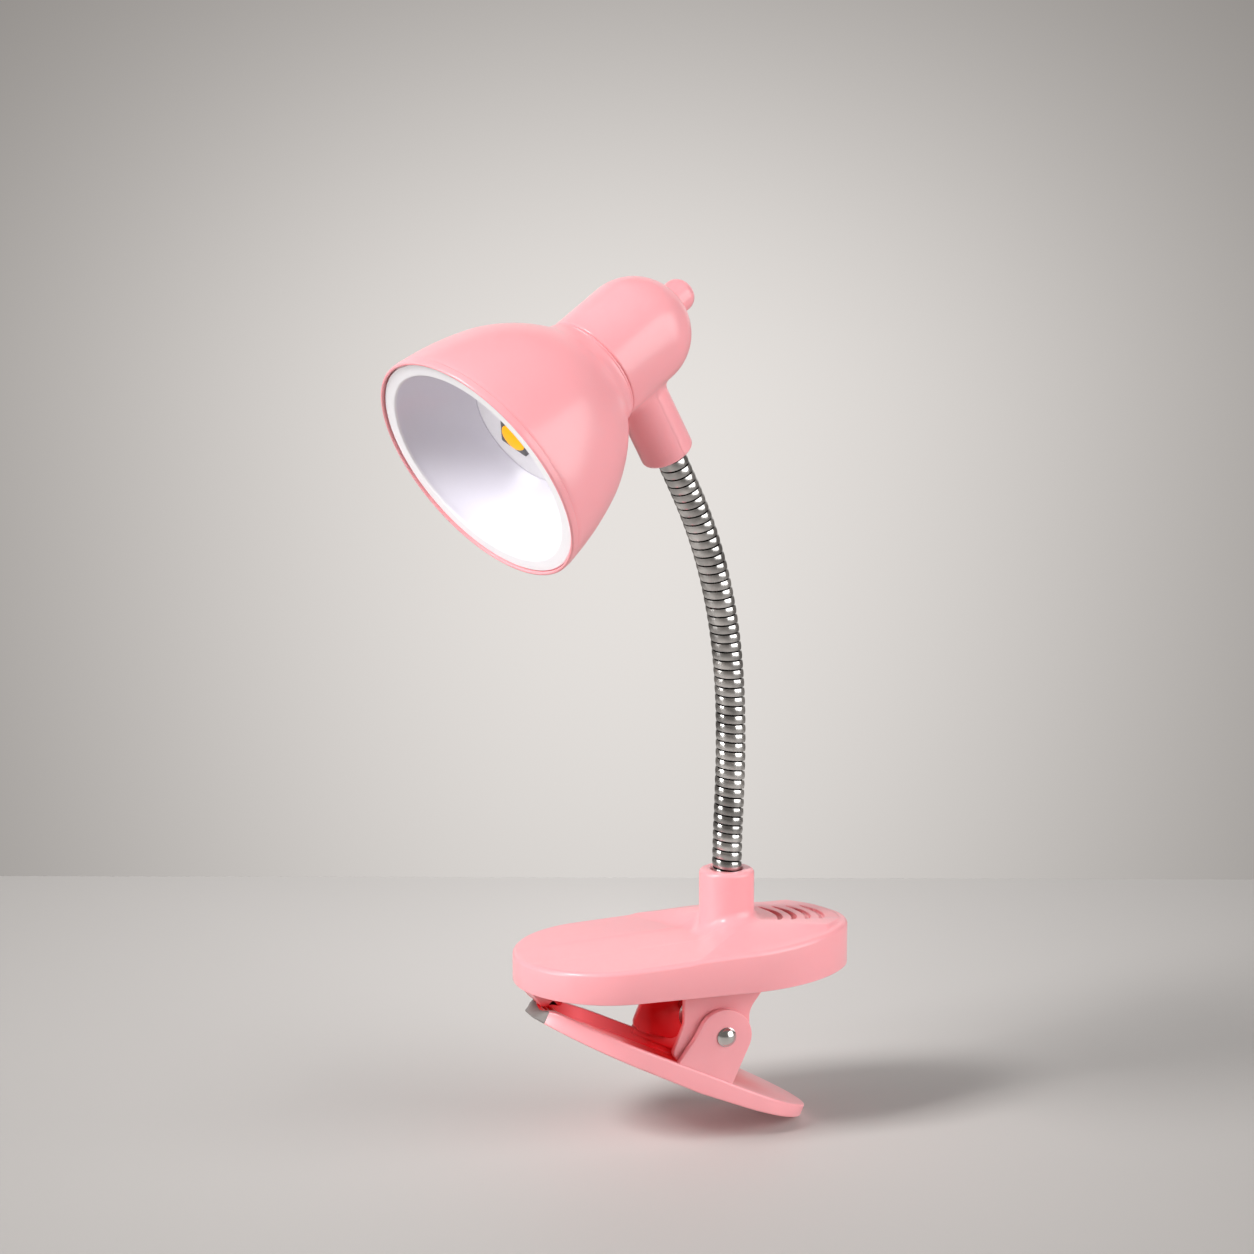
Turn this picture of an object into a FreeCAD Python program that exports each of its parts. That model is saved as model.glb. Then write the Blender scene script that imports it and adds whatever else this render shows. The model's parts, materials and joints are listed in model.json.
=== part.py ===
import FreeCAD, Part
import math
import os
import types
import Sketcher

# Clip-on reading lamp: a sprung clip, a bendable steel neck and a battery head with a bell shade.
# Millimetres, +Z up. The origin is the middle of the line where the closed jaws grip,
# +X runs back along the clip towards its thumb levers, and +Y is the clip's left.

SIZES = [
    # clip, upper lever: measured from the neck's axis and from the skirt's lower edge
    ("grip_to_neck", 43.0, "grip line to neck axis"),
    ("lip_drop", 3.5, "skirt edge to the upper lip's gripping edge"),
    ("deck_front", 48.0, "neck axis to the nose of the deck"),
    ("deck_rear", 27.6, "neck axis to the rear of the deck"),
    ("deck_half", 21.1, "half the deck's width"),
    ("rim_front", 6.5, "skirt height at the nose"),
    ("rim_rear", 10.2, "skirt height at the rear"),
    ("deck_wall", 1.8, "skirt wall and roof thickness"),
    ("rim_round", 0.9, "rounding of the deck's upper edge"),
    ("thumb_inset", 1.5, "thumb deck's foot set in from the rim"),
    ("thumb_narrow", 10.1, "thumb deck's flat set in from the deck's side"),
    ("thumb_back", 2.6, "thumb deck's flat set in from the deck's rear"),
    ("thumb_rise", 3.1, "thumb deck above the sloping deck, at the neck axis"),
    ("thumb_fall", 3.2, "slope of the thumb deck, degrees, down to the rear"),
    ("groove_back", 9.5, "neck axis to the first thumb groove"),
    ("groove_pitch", 3.3, "spacing of the thumb grooves"),
    ("groove_half", 5.6, "half the length of a thumb groove"),
    ("groove_depth", 0.8, "depth of a thumb groove"),
    ("tower_half", 6.0, "radius of the neck tower"),
    ("tower_top", 22.4, "top of the neck tower"),
    ("tower_foot", 2.2, "radius of the fillet at the tower's foot"),
    ("tower_edge", 0.8, "bevel round the tower's mouth"),
    ("lip_half", 8.0, "half the width of the upper lip"),
    # clip, lower lever: measured from the hinge pin, in the lever's own direction
    ("pin_back", 37.3, "grip line to hinge pin, along X"),
    ("pin_down", 11.0, "skirt edge down to the hinge pin"),
    ("pin_half", 1.25, "radius of the hinge pin"),
    ("pin_head", 2.15, "radius of the pin's domed heads"),
    ("pin_dome", 1.2, "height of the pin's domed heads"),
    ("pin_gap", 0.05, "running clearance of the pin and of its heads"),
    ("lever_angle", 25.0, "slope of the closed lower lever, degrees"),
    ("tip_gap", 0.2, "gap between the closed jaws' tips"),
    ("tip_back", 0.3, "grip line to the upper edge of the lever's nose"),
    ("nose_rake", 2.4, "how far the nose's lower edge stands ahead of its upper edge"),
    ("lever_rear", 30.5, "hinge pin to the end of the thumb lever"),
    ("lever_half", 15.4, "half the width of the lower lever"),
    ("lever_deep", 4.4, "depth of the lever's side wall"),
    ("lever_thin", 1.5, "how much thinner the lever is at its rear end"),
    ("lever_wall", 1.6, "wall and floor of the lever's tray"),
    ("tray_rear", 4.5, "hinge pin to the rear wall of the tray"),
    ("shoe_long", 4.1, "length of the rubber tip shoe"),
    ("ear_round", 5.9, "radius of the lower lever's ears round the pin"),
    ("ear_wall", 1.7, "thickness of all four ears"),
    ("ear_inset", 0.3, "lower ears set in from the lever's side"),
    ("ear_gap", 0.3, "side clearance between the inner and outer ears"),
    ("wire_half", 0.6, "radius of the torsion spring's wire"),
    ("wire_gap", 0.1, "clearance of the spring's legs from the levers"),
    ("coil_mean", 3.3, "mean radius of the torsion spring's coil"),
    ("coil_pitch", 1.5, "pitch of the torsion spring's coil"),
    ("leg_roof", 11.0, "hinge pin to the end of the spring's upper leg"),
    ("leg_deck", 15.0, "hinge pin to the end of the spring's lower leg, along the lever"),
    # neck
    ("hose_half", 3.25, "outer radius of the wound steel neck"),
    ("hose_bore", 1.5, "inner radius of the neck"),
    ("wind_pitch", 2.04, "pitch of the neck's winding"),
    ("wind_groove", 0.4, "depth of the groove between two windings"),
    ("cup_gap", 0.05, "clearance between a neck length and the next one's cup"),
    ("cup_rim", 0.9, "joint centre to the rim of the cup above it"),
    ("stub", 4.7, "straight end of the neck outside the tower and outside the socket"),
    ("neck_gap", 0.25, "clearance of the neck in its holes"),
    ("ferrule_half", 4.5, "outer radius of both crimped ferrules"),
    ("ferrule_long", 6.4, "length of both crimped ferrules"),
    ("ferrule_gap", 0.1, "clearance of a ferrule in its seat"),
    ("seat_depth", 9.4, "tower top or socket mouth to the ferrule's shoulder"),
    ("screw_out", 7.6, "neck axis to each of the retainer's screws"),
    ("screw_half", 1.0, "radius of the retainer's screws"),
    ("screw_head", 2.0, "radius of their heads"),
    ("screw_head_high", 1.3, "height of their heads"),
    ("retainer_half", 3.2, "half the width of the neck's retaining plate"),
    ("retainer_thick", 1.4, "thickness of the neck's retaining plate"),
    ("neck_swing", 22.4, "neck plane turned out from the clip's long axis, degrees"),
    ("head_tilt", 31.9, "head axis below the horizontal, degrees"),
    ("head_twist", 3.2, "turn of the head about its neck socket, degrees"),
    # head: measured along its axis, back from the rim, and out from the axis
    ("rim_half", 26.5, "outer radius of the shade's rim"),
    ("shade_wall", 1.5, "wall of the shade"),
    ("skirt_bow", 66.0, "radius of the bell's long curve, from the rim to its shoulder"),
    ("shade_mid", 18.0, "rim to the shade's shoulder"),
    ("shade_mid_half", 22.6, "outer radius at the shoulder"),
    ("shoulder_bow", 36.0, "radius of the bell's curve from the shoulder to the collar"),
    ("shade_neck", 31.6, "rim to the shade's collar"),
    ("shade_neck_half", 13.2, "outer radius where the shade meets its collar"),
    ("collar_half", 12.2, "outer radius of the shade's collar"),
    ("shade_long", 33.6, "rim to the back of the collar"),
    ("ring_half", 25.7, "outer radius of the reflector's front ring"),
    ("ring_inner", 22.8, "inner radius of the reflector's front ring"),
    ("ring_back", 0.5, "front ring set back from the rim"),
    ("floor_half", 12.9, "radius of the reflector's small end"),
    ("floor_back", 14.1, "rim to the lamp board"),
    ("board_thick", 1.2, "thickness of the lamp board"),
    ("pedestal_half", 5.3, "radius of the round pedestal on the lamp board"),
    ("pedestal_high", 1.7, "height of the pedestal"),
    ("package_wide", 6.9, "side of the square lamp package"),
    ("package_thick", 1.2, "thickness of the lamp package"),
    ("glow_half", 3.1, "radius of the phosphor disc"),
    ("housing_half", 12.4, "outer radius of the battery housing"),
    ("housing_front", 34.5, "rim to the front edge of the housing"),
    ("housing_bore", 9.0, "bore of the battery housing"),
    ("dome_back", 48.6, "rim to the centre of the domed tail"),
    ("spigot_half", 10.4, "outer radius of the housing's threaded spigot"),
    ("spigot_front", 28.6, "rim to the front end of the spigot"),
    ("spigot_gap", 0.15, "clearance of the spigot in the shade's collar"),
    ("socket_half", 6.2, "outer radius of the neck socket"),
    ("socket_back", 43.0, "rim to the neck socket's axis"),
    ("socket_reach", 28.5, "head axis to the socket's mouth"),
    ("cell_half", 5.8, "radius of a button cell"),
    ("cell_thick", 5.3, "thickness of a button cell"),
    ("cells_front", 32.8, "rim to the first cell"),
    ("nub_half", 3.6, "radius of the switch nub"),
    ("flange_half", 4.6, "radius of the flange that keeps the nub in the housing"),
    ("flange_back", 57.6, "rim to the back of the nub's flange"),
    ("flange_thick", 1.4, "thickness of the nub's flange"),
    ("stem_half", 1.7, "radius of the stem that the nub presses the switch with"),
    ("nub_end", 65.5, "rim to the end of the switch nub"),
    ("nub_round", 2.9, "rounding of the switch nub's end"),
    ("nub_gap", 0.1, "clearance round the switch nub"),
    ("switch_travel", 1.5, "travel of the switch nub"),
    ("switch_half", 4.0, "half the side of the switch's square case"),
    ("press_gap", 0.3, "clearance left between the pressed nub and the switch's case"),
]

# Direction of each straight neck length from the vertical at rest, in degrees, from the tower to the socket.
# Each lies in the neck's own plane; the last one is square to the head's axis.
NECK_LEANS = [0.0, -3.0, -1.5, 2.5, 8.0, 14.5, 21.5, 29.0]
WINDS_PER_LINK = 6
GROOVE_COUNT = 4
SPRING_TURNS = 5
CELL_COUNT = 3
# A cut that has to clear the whole clip, or the whole head, reaches this far.
BEYOND = 60

doc = FreeCAD.newDocument("clip_on_reading_lamp")
sheet = doc.addObject("Spreadsheet::Sheet", "dims")
for row, (alias, value, meaning) in enumerate(SIZES, 1):
    sheet.set(f"A{row}", meaning)
    sheet.set(f"B{row}", str(value))
    sheet.setAlias(f"B{row}", alias)
doc.recompute()


class Size:
    """A number that carries the spreadsheet expression it comes from."""

    def __init__(self, text, value):
        self.text = text
        self.value = value

    def __add__(self, other):
        other = as_size(other)
        return Size(f"({self.text} + {other.text})", self.value + other.value)

    def __sub__(self, other):
        other = as_size(other)
        return Size(f"({self.text} - {other.text})", self.value - other.value)

    def __mul__(self, other):
        other = as_size(other)
        return Size(f"({self.text} * {other.text})", self.value * other.value)

    def __truediv__(self, other):
        other = as_size(other)
        return Size(f"({self.text} / {other.text})", self.value / other.value)

    def __radd__(self, other):
        return as_size(other) + self

    def __rsub__(self, other):
        return as_size(other) - self

    def __rmul__(self, other):
        return as_size(other) * self

    def __neg__(self):
        return Size(f"(0 - {self.text})", -self.value)


def as_size(number):
    if isinstance(number, Size):
        return number
    return Size(f"({float(number)!r})", float(number))


def root(size):
    return Size(f"sqrt({size.text})", math.sqrt(size.value))


def sine(angle):
    return Size(f"sin({angle.text})", math.sin(math.radians(angle.value)))


def cosine(angle):
    return Size(f"cos({angle.text})", math.cos(math.radians(angle.value)))


def leg(long_side, short_side):
    """The other short side of a right triangle."""
    return root(as_size(long_side) * long_side - as_size(short_side) * short_side)


d = types.SimpleNamespace(**{alias: Size(f"dims.{alias}", value) for alias, value, _ in SIZES})


# ---- sketches and features ----------------------------------------------------------------


def bind(thing, prop, size):
    thing.setExpression(prop, as_size(size).text)


def new_body(name, place=None):
    body = doc.addObject("PartDesign::Body", name)
    body.Label = name
    body.Placement = place or FreeCAD.Placement()
    return body


def attach(body, sketch, plane, offset=0, tilt=None):
    """Puts a sketch on one of the body's origin planes, moved along its normal and tilted about Y."""
    support = next(f for f in body.Origin.OriginFeatures if f.Role == plane + "_Plane")
    sketch.AttachmentSupport = [(support, "")]
    sketch.MapMode = "FlatFace"
    if tilt is not None:
        sketch.AttachmentOffset = FreeCAD.Placement(
            FreeCAD.Vector(0, 0, 0), FreeCAD.Rotation(FreeCAD.Vector(0, 1, 0), 1)
        )
        bind(sketch, "AttachmentOffset.Rotation.Angle", tilt)
    bind(sketch, "AttachmentOffset.Base.z", offset)


def fix_point(sketch, curve, end, x, y):
    """Ties one end, or the centre, of a curve to its place from the sketch's origin."""
    for kind, axis, size in (("DistanceX", -2, as_size(x)), ("DistanceY", -1, as_size(y))):
        if abs(size.value) < 1e-9:
            sketch.addConstraint(Sketcher.Constraint("PointOnObject", curve, end, axis))
            continue
        ends = (-1, 1, curve, end) if size.value > 0 else (curve, end, -1, 1)
        index = sketch.addConstraint(Sketcher.Constraint(kind, *ends, abs(size.value)))
        bind(sketch, f"Constraints[{index}]", size if size.value > 0 else -size)


def arc_between(start, end, radius):
    """An arc of less than half a turn. Its centre is left of the way there if the radius is positive."""
    chord = end - start
    half = chord.Length / 2
    left = FreeCAD.Vector(-chord.y, chord.x, 0).normalize()
    rise = math.sqrt(max(radius * radius - half * half, 0)) * (1 if radius > 0 else -1)
    centre = (start + end) / 2 + left * rise
    first, last = (start, end) if radius > 0 else (end, start)
    angles = [math.atan2(p.y - centre.y, p.x - centre.x) for p in (first, last)]
    circle = Part.Circle(centre, FreeCAD.Vector(0, 0, 1), abs(radius))
    return Part.ArcOfCircle(circle, *angles)


def outline(body, name, plane, corners, offset=0, tilt=None):
    """A closed, fully tied outline. A corner is (x, y), or (x, y, radius) where an arc leaves it."""
    sketch = body.newObject("Sketcher::SketchObject", name)
    attach(body, sketch, plane, offset, tilt)
    points = [FreeCAD.Vector(as_size(c[0]).value, as_size(c[1]).value, 0) for c in corners]
    radii = [as_size(c[2]) if len(c) > 2 else None for c in corners]
    for i, radius in enumerate(radii):
        start, end = points[i], points[(i + 1) % len(points)]
        if radius is None:
            sketch.addGeometry(Part.LineSegment(start, end))
        else:
            sketch.addGeometry(arc_between(start, end, radius.value))
    forward = [radius is None or radius.value > 0 for radius in radii]
    for i, corner in enumerate(corners):
        following = (i + 1) % len(corners)
        ends = (i, 2 if forward[i] else 1, following, 1 if forward[following] else 2)
        sketch.addConstraint(Sketcher.Constraint("Coincident", *ends))
        fix_point(sketch, i, 1 if forward[i] else 2, corner[0], corner[1])
    for i, radius in enumerate(radii):
        if radius is not None:
            index = sketch.addConstraint(Sketcher.Constraint("Radius", i, abs(radius.value)))
            bind(sketch, f"Constraints[{index}]", radius if radius.value > 0 else -radius)
    return sketch


def rounds(body, name, plane, circles, offset=0, tilt=None):
    """A sketch of circles, each (x, y, radius)."""
    sketch = body.newObject("Sketcher::SketchObject", name)
    attach(body, sketch, plane, offset, tilt)
    for x, y, radius in circles:
        centre = FreeCAD.Vector(as_size(x).value, as_size(y).value, 0)
        curve = sketch.addGeometry(Part.Circle(centre, FreeCAD.Vector(0, 0, 1), as_size(radius).value))
        fix_point(sketch, curve, 3, x, y)
        index = sketch.addConstraint(Sketcher.Constraint("Radius", curve, as_size(radius).value))
        bind(sketch, f"Constraints[{index}]", radius)
    return sketch


def feature(body, kind, name, profile, **settings):
    made = body.newObject("PartDesign::" + kind, name)
    made.Profile = profile
    for prop, value in settings.items():
        if isinstance(value, Size):
            bind(made, prop, value)
        else:
            setattr(made, prop, value)
    return made


def pad(body, name, profile, length, **settings):
    return feature(body, "Pad", name, profile, Length=as_size(length), **settings)


def pocket(body, name, profile, length, **settings):
    return feature(body, "Pocket", name, profile, Length=as_size(length), **settings)


def turned(body, name, corners):
    """A solid turned about the body's Z axis. Each corner is (radius, height), listed anticlockwise."""
    profile = outline(body, name + "_profile", "XZ", corners)
    return feature(body, "Revolution", name, profile, ReferenceAxis=(profile, ["V_Axis"]), Angle=360.0)


def mirrored(body, name, originals, plane="XZ"):
    copy = body.newObject("PartDesign::Mirrored", name)
    copy.Originals = originals
    support = next(f for f in body.Origin.OriginFeatures if f.Role == plane + "_Plane")
    copy.MirrorPlane = (support, [""])
    body.Tip = copy
    return copy


def row_of(body, name, originals, sketch, length, count):
    copy = body.newObject("PartDesign::LinearPattern", name)
    copy.Originals = originals
    copy.Direction = (sketch, ["H_Axis"])
    copy.Occurrences = count
    bind(copy, "Length", length)
    body.Tip = copy
    return copy


def dressed(body, kind, name, base, keep, size):
    """A fillet or chamfer of the edges of a feature for which keep(edge) is true."""
    doc.recompute()
    names = [f"Edge{i}" for i, edge in enumerate(base.Shape.Edges, 1) if keep(edge)]
    dress = body.newObject("PartDesign::" + kind, name)
    dress.Base = (base, names)
    bind(dress, {"Fillet": "Radius", "Chamfer": "Size"}[kind], size)
    return dress


def wire_along(name, points, radius, place, sides=8):
    """A wire along straight runs, mitred where they meet. Its few sides keep a long coil light."""
    facing = FreeCAD.Rotation(FreeCAD.Vector(0, 0, 1), points[1] - points[0])
    corners = []
    for i in range(sides + 1):
        angle = math.tau * i / sides
        spoke = FreeCAD.Vector(radius * math.cos(angle), radius * math.sin(angle), 0)
        corners.append(points[0] + facing.multVec(spoke))
    wire = doc.addObject("Part::Feature", name)
    wire.Label = name
    wire.Shape = Part.makePolygon(points).makePipeShell([Part.makePolygon(corners)], True, False, 1)
    wire.Placement = place
    return wire


def coil(first, last, first_half, last_half, low, high, sides=16):
    """The points of a coil about Z. Its angle, radius and height all change evenly from end to end."""
    count = math.ceil(abs(last - first) * sides / math.tau)
    points = []
    for i in range(count + 1):
        share = i / count
        angle = first + (last - first) * share
        half = first_half + (last_half - first_half) * share
        height = low + (high - low) * share
        points.append(FreeCAD.Vector(half * math.cos(angle), half * math.sin(angle), height))
    return points


def bow(half, rise):
    """The radius of an arc that rises so far over a chord of twice half."""
    return (as_size(half) * half + as_size(rise) * rise) / (2 * as_size(rise))


def end_curve(reach, half, nose, nose_half):
    """One end of an oval lever: a nose arc, then a tangent corner arc down to the straight side.

    Returns the corner points as (distance along the lever, half width) and the corner's radius."""
    drop = leg(nose, nose_half)
    corner_radius = (as_size(half) - nose_half) / (1 - as_size(nose_half) / nose)
    shoulder = as_size(reach) - nose + drop
    side_end = shoulder - corner_radius * drop / nose
    return (shoulder, as_size(nose_half)), (side_end, as_size(half)), corner_radius


def oval(front, rear, half, front_nose, front_share, rear_nose, rear_share, inset=0):
    """A lever's plan: two blunt noses joined by straight sides, all set in by inset. Anticlockwise."""
    front_r, rear_r = front_nose - as_size(inset), rear_nose - as_size(inset)
    half = as_size(half) - inset
    (fx, fy), (fs, _), f_corner = end_curve(as_size(front) - inset, half, front_r, front_share * front_r)
    (rx, ry), (rs, _), r_corner = end_curve(as_size(rear) - inset, half, rear_r, rear_share * rear_r)
    return [
        (inset - as_size(front), 0, front_r),
        (-fx, -fy, f_corner),
        (-fs, -half),
        (rs, -half, r_corner),
        (rx, -ry, rear_r),
        (as_size(rear) - inset, 0, rear_r),
        (rx, ry, r_corner),
        (rs, half),
        (-fs, half, f_corner),
        (-fx, fy, front_r),
    ]


# ---- upper lever of the clip ---------------------------------------------------------------

CLIP = FreeCAD.Vector(d.grip_to_neck.value, 0, d.lip_drop.value)
DECK_NOSES = (22.0, 0.64, 13.5, 0.64)
deck_slope = (d.rim_rear - d.rim_front) / (d.deck_rear + d.deck_front)
deck_at_neck = d.rim_front + deck_slope * d.deck_front
deck_tilt = Size(f"(-1 * atan({deck_slope.text}))", -math.degrees(math.atan(deck_slope.value)))
roof_at_neck = deck_at_neck - d.deck_wall
pin_x = d.pin_back - d.grip_to_neck
inner_ear = d.lever_half - d.ear_inset - d.ear_wall - d.ear_gap
seat_shoulder = d.tower_top - d.seat_depth
retainer_top = seat_shoulder - d.ferrule_long - d.ferrule_gap
# What stands on a wall starts this far inside it.
SINK = 0.3
# Pieces that are pressed or crimped together are drawn this far apart.
SNUG = 0.02


def on_rim(edge):
    """The edges round the sloping deck, and not those round its foot or up its sides."""
    return min(v.Z for v in edge.Vertexes) > 0.1 and edge.BoundBox.ZLength < 3


def make_upper_lever():
    body = new_body("upper_lever", FreeCAD.Placement(CLIP, FreeCAD.Rotation()))
    plan = oval(d.deck_front, d.deck_rear, d.deck_half, *DECK_NOSES)
    pad(body, "blank", outline(body, "plan", "XY", plan), d.rim_rear + 2)
    block = [(-BEYOND, -BEYOND), (BEYOND, -BEYOND), (BEYOND, BEYOND), (-BEYOND, BEYOND)]
    above = outline(body, "above_deck", "XY", block, deck_at_neck, deck_tilt)
    deck = pocket(body, "sloping_deck", above, BEYOND, Reversed=True)
    dressed(body, "Fillet", "rim_edge", deck, on_rim, d.rim_round)
    make_thumb_deck(body)
    make_tower(body)
    hollow = oval(d.deck_front, d.deck_rear, d.deck_half, *DECK_NOSES, inset=d.deck_wall)
    cavity = outline(body, "cavity_plan", "XY", hollow, roof_at_neck, deck_tilt)
    pocket(body, "cavity", cavity, BEYOND, UseCustomVector=True, Direction=FreeCAD.Vector(0, 0, -1))
    make_neck_seat(body)
    make_inner_ears(body)
    make_lip(body)
    make_thumb_grooves(body)
    return body


def make_thumb_deck(body):
    """The raised deck behind the tower: a loft from the rim of the sloping deck to a narrower flat.

    Its two wings start ahead of the tower at the rim and close in on the tower's sides."""
    wing = d.deck_half - d.thumb_inset
    low = oval(d.deck_front, d.deck_rear, d.deck_half, *DECK_NOSES, inset=d.thumb_inset)[3:8]
    foot = [(-d.tower_half, 0), (-13.0, -wing), *low, (-13.0, wing)]
    foot[6] = foot[6][:2]
    flat_half = d.deck_half - d.thumb_narrow
    flat = oval(10.0, d.deck_rear - d.thumb_back, flat_half, 8.0, 0.6, 9.0, 0.6)[3:8]
    beside = d.tower_half + 0.6
    top = [(-1.5, 0), (1.5, -beside), *flat, (1.5, beside)]
    top[6] = top[6][:2]
    foot_sketch = outline(body, "thumb_deck_foot", "XY", foot, deck_at_neck - SINK, deck_tilt)
    top_sketch = outline(body, "thumb_deck_top", "XY", top, deck_at_neck + d.thumb_rise, d.thumb_fall)
    loft = feature(body, "AdditiveLoft", "thumb_deck", foot_sketch, Ruled=True)
    loft.Sections = [top_sketch]


def make_tower(body):
    foot = d.tower_foot
    base = deck_at_neck - SINK
    turned(body, "tower", [
        (0, roof_at_neck),
        (d.tower_half + foot, roof_at_neck),
        (d.tower_half + foot, base, -foot),
        (d.tower_half, base + foot),
        (d.tower_half, d.tower_top - d.tower_edge),
        (d.tower_half - d.tower_edge, d.tower_top),
        (0, d.tower_top),
    ])


def make_neck_seat(body):
    """The tower's bore, the ferrule's seat above the roof and two screw bosses for the retainer."""
    boss_half = d.screw_head + 0.6
    bosses = [(0, -d.screw_out, boss_half), (0, d.screw_out, boss_half)]
    plan = rounds(body, "boss_plan", "XY", bosses, retainer_top)
    pad(body, "retainer_bosses", plan, roof_at_neck + SINK - retainer_top)
    neck_hole = rounds(body, "neck_hole_plan", "XY", [(0, 0, d.hose_half + d.neck_gap)], d.tower_top)
    pocket(body, "neck_hole", neck_hole, d.tower_top)
    seat = rounds(body, "ferrule_seat_plan", "XY", [(0, 0, d.ferrule_half + d.ferrule_gap)], seat_shoulder)
    pocket(body, "ferrule_seat", seat, seat_shoulder)


def make_inner_ears(body):
    """Two ears down to the hinge, each with a stop toe ahead of the pin and a web behind it."""
    low = -d.pin_down
    below = d.ear_round + 0.5
    front, rear = pin_x - 8.9, pin_x + 9.6
    ear = [
        (front, roof_at_neck + deck_slope * front + SINK),
        (front, low + 3.4),
        (pin_x - 11.2, low - 2.6, 1.8),
        (pin_x - 10.0, low - 5.0),
        (pin_x - 0.6, low - leg(below, 0.6), below),
        (pin_x + below, low),
        (pin_x + below, low + 4.0, -6.0),
        (rear, low + 9.6),
        (rear, roof_at_neck + deck_slope * rear + SINK),
    ]
    near = outline(body, "inner_ear_profile", "XZ", ear, inner_ear)
    first = pad(body, "inner_ear", near, d.ear_wall, Reversed=True)
    mirrored(body, "inner_ears", [first])
    hole = rounds(body, "ear_hole_plan", "XZ", [(pin_x, low, d.pin_half + SNUG)])
    pocket(body, "ear_holes", hole, BEYOND, SideType="Symmetric")


def make_lip(body):
    """The upper jaw's gripping lip under the nose, with two teeth either side of the grip line."""
    edge = -d.lip_drop
    x = -d.grip_to_neck
    front, rear = x - 3.2, x + 4.6
    lip = [
        (front, roof_at_neck + deck_slope * front + SINK),
        (front, edge + 2.6),
        (x - 1.2, edge),
        (x + 0.5, edge),
        (x + 1.3, edge + 0.8),
        (x + 2.1, edge - 0.2),
        (x + 3.2, edge - 0.2),
        (rear, edge + 2.4),
        (rear, roof_at_neck + deck_slope * rear + SINK),
    ]
    pad(body, "lip", outline(body, "lip_profile", "XZ", lip), d.lip_half * 2, SideType="Symmetric")


def make_thumb_grooves(body):
    """Crescent grooves across the thumb deck that bulge towards its rear."""
    x = d.groove_back
    half = d.groove_half
    crescent = [(x, -half, bow(half, 2.7)), (x, half, -bow(half, 1.4))]
    plan = outline(body, "groove_plan", "XY", crescent, deck_at_neck + d.thumb_rise, d.thumb_fall)
    first = pocket(body, "thumb_groove", plan, d.groove_depth)
    row_of(body, "thumb_grooves", [first], plan, d.groove_pitch * (GROOVE_COUNT - 1), GROOVE_COUNT)


# ---- lower lever, its tip shoe and the hinge --------------------------------------------------

# The lever's nose meets the grip line, whatever the pin's place and the lever's slope.
nose_along = d.pin_back - d.tip_back
nose_above = d.pin_down - d.lip_drop - d.tip_gap
lever_front = nose_along * cosine(d.lever_angle) + nose_above * sine(d.lever_angle) + d.nose_rake
lever_top = nose_along * sine(d.lever_angle) - nose_above * cosine(d.lever_angle)
PIN = FreeCAD.Vector(d.pin_back.value, 0, d.lip_drop.value - d.pin_down.value)
LEVER_PLACE = FreeCAD.Placement(PIN, FreeCAD.Rotation(FreeCAD.Vector(0, 1, 0), d.lever_angle.value))
LEVER_NOSES = (22.0, 0.41, 10.5, 0.62)
lever_floor = -(lever_top + d.lever_deep)
nose_top = d.nose_rake - lever_front
shoe_back = d.shoe_long - lever_front
outer_ear = d.lever_half - d.ear_inset


def lever_blank(body):
    """The outer block that the lever and its tip shoe are both cut from, with the sloping nose."""
    plan = oval(lever_front, d.lever_rear, d.lever_half, *LEVER_NOSES)
    pad(body, "blank", outline(body, "plan", "XY", plan, lever_floor), d.lever_deep)
    under = [
        (0, lever_floor - 1),
        (d.lever_rear, lever_floor - 1),
        (d.lever_rear, lever_floor + d.lever_thin),
        (0, lever_floor),
    ]
    pocket(body, "thin_rear", outline(body, "under_profile", "XZ", under), BEYOND, SideType="Symmetric")
    tip = (-lever_front, lever_floor)
    nose = [(nose_top, 1 - lever_top), (nose_top, -lever_top), tip, (-BEYOND, -lever_top)]
    pocket(body, "nose_slope", outline(body, "nose_profile", "XZ", nose), BEYOND, SideType="Symmetric")


def make_lower_lever():
    body = new_body("lower_lever", LEVER_PLACE)
    lever_blank(body)
    ahead = [(-BEYOND, -BEYOND), (shoe_back, -BEYOND), (shoe_back, BEYOND), (-BEYOND, BEYOND)]
    pocket(body, "shoe_seat", outline(body, "shoe_seat_plan", "XY", ahead, 1), BEYOND)
    wall = d.lever_wall
    shape = oval(lever_front, d.lever_rear, d.lever_half, *LEVER_NOSES, inset=wall)
    side = d.lever_half - wall
    corner_x, corner_radius = shape[2][0], shape[1][2]
    front = shoe_back + wall
    reach = corner_x - front
    front_half = side - corner_radius + leg(corner_radius, reach)
    tray = [
        (front, -front_half, corner_radius),
        (corner_x, -side),
        (d.tray_rear, -side),
        (d.tray_rear, side),
        (corner_x, side, corner_radius),
        (front, front_half),
    ]
    pocket(body, "tray", outline(body, "tray_plan", "XY", tray, -lever_top), d.lever_deep - wall)
    make_tray_floor(body)
    make_outer_ears(body)
    return body


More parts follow.
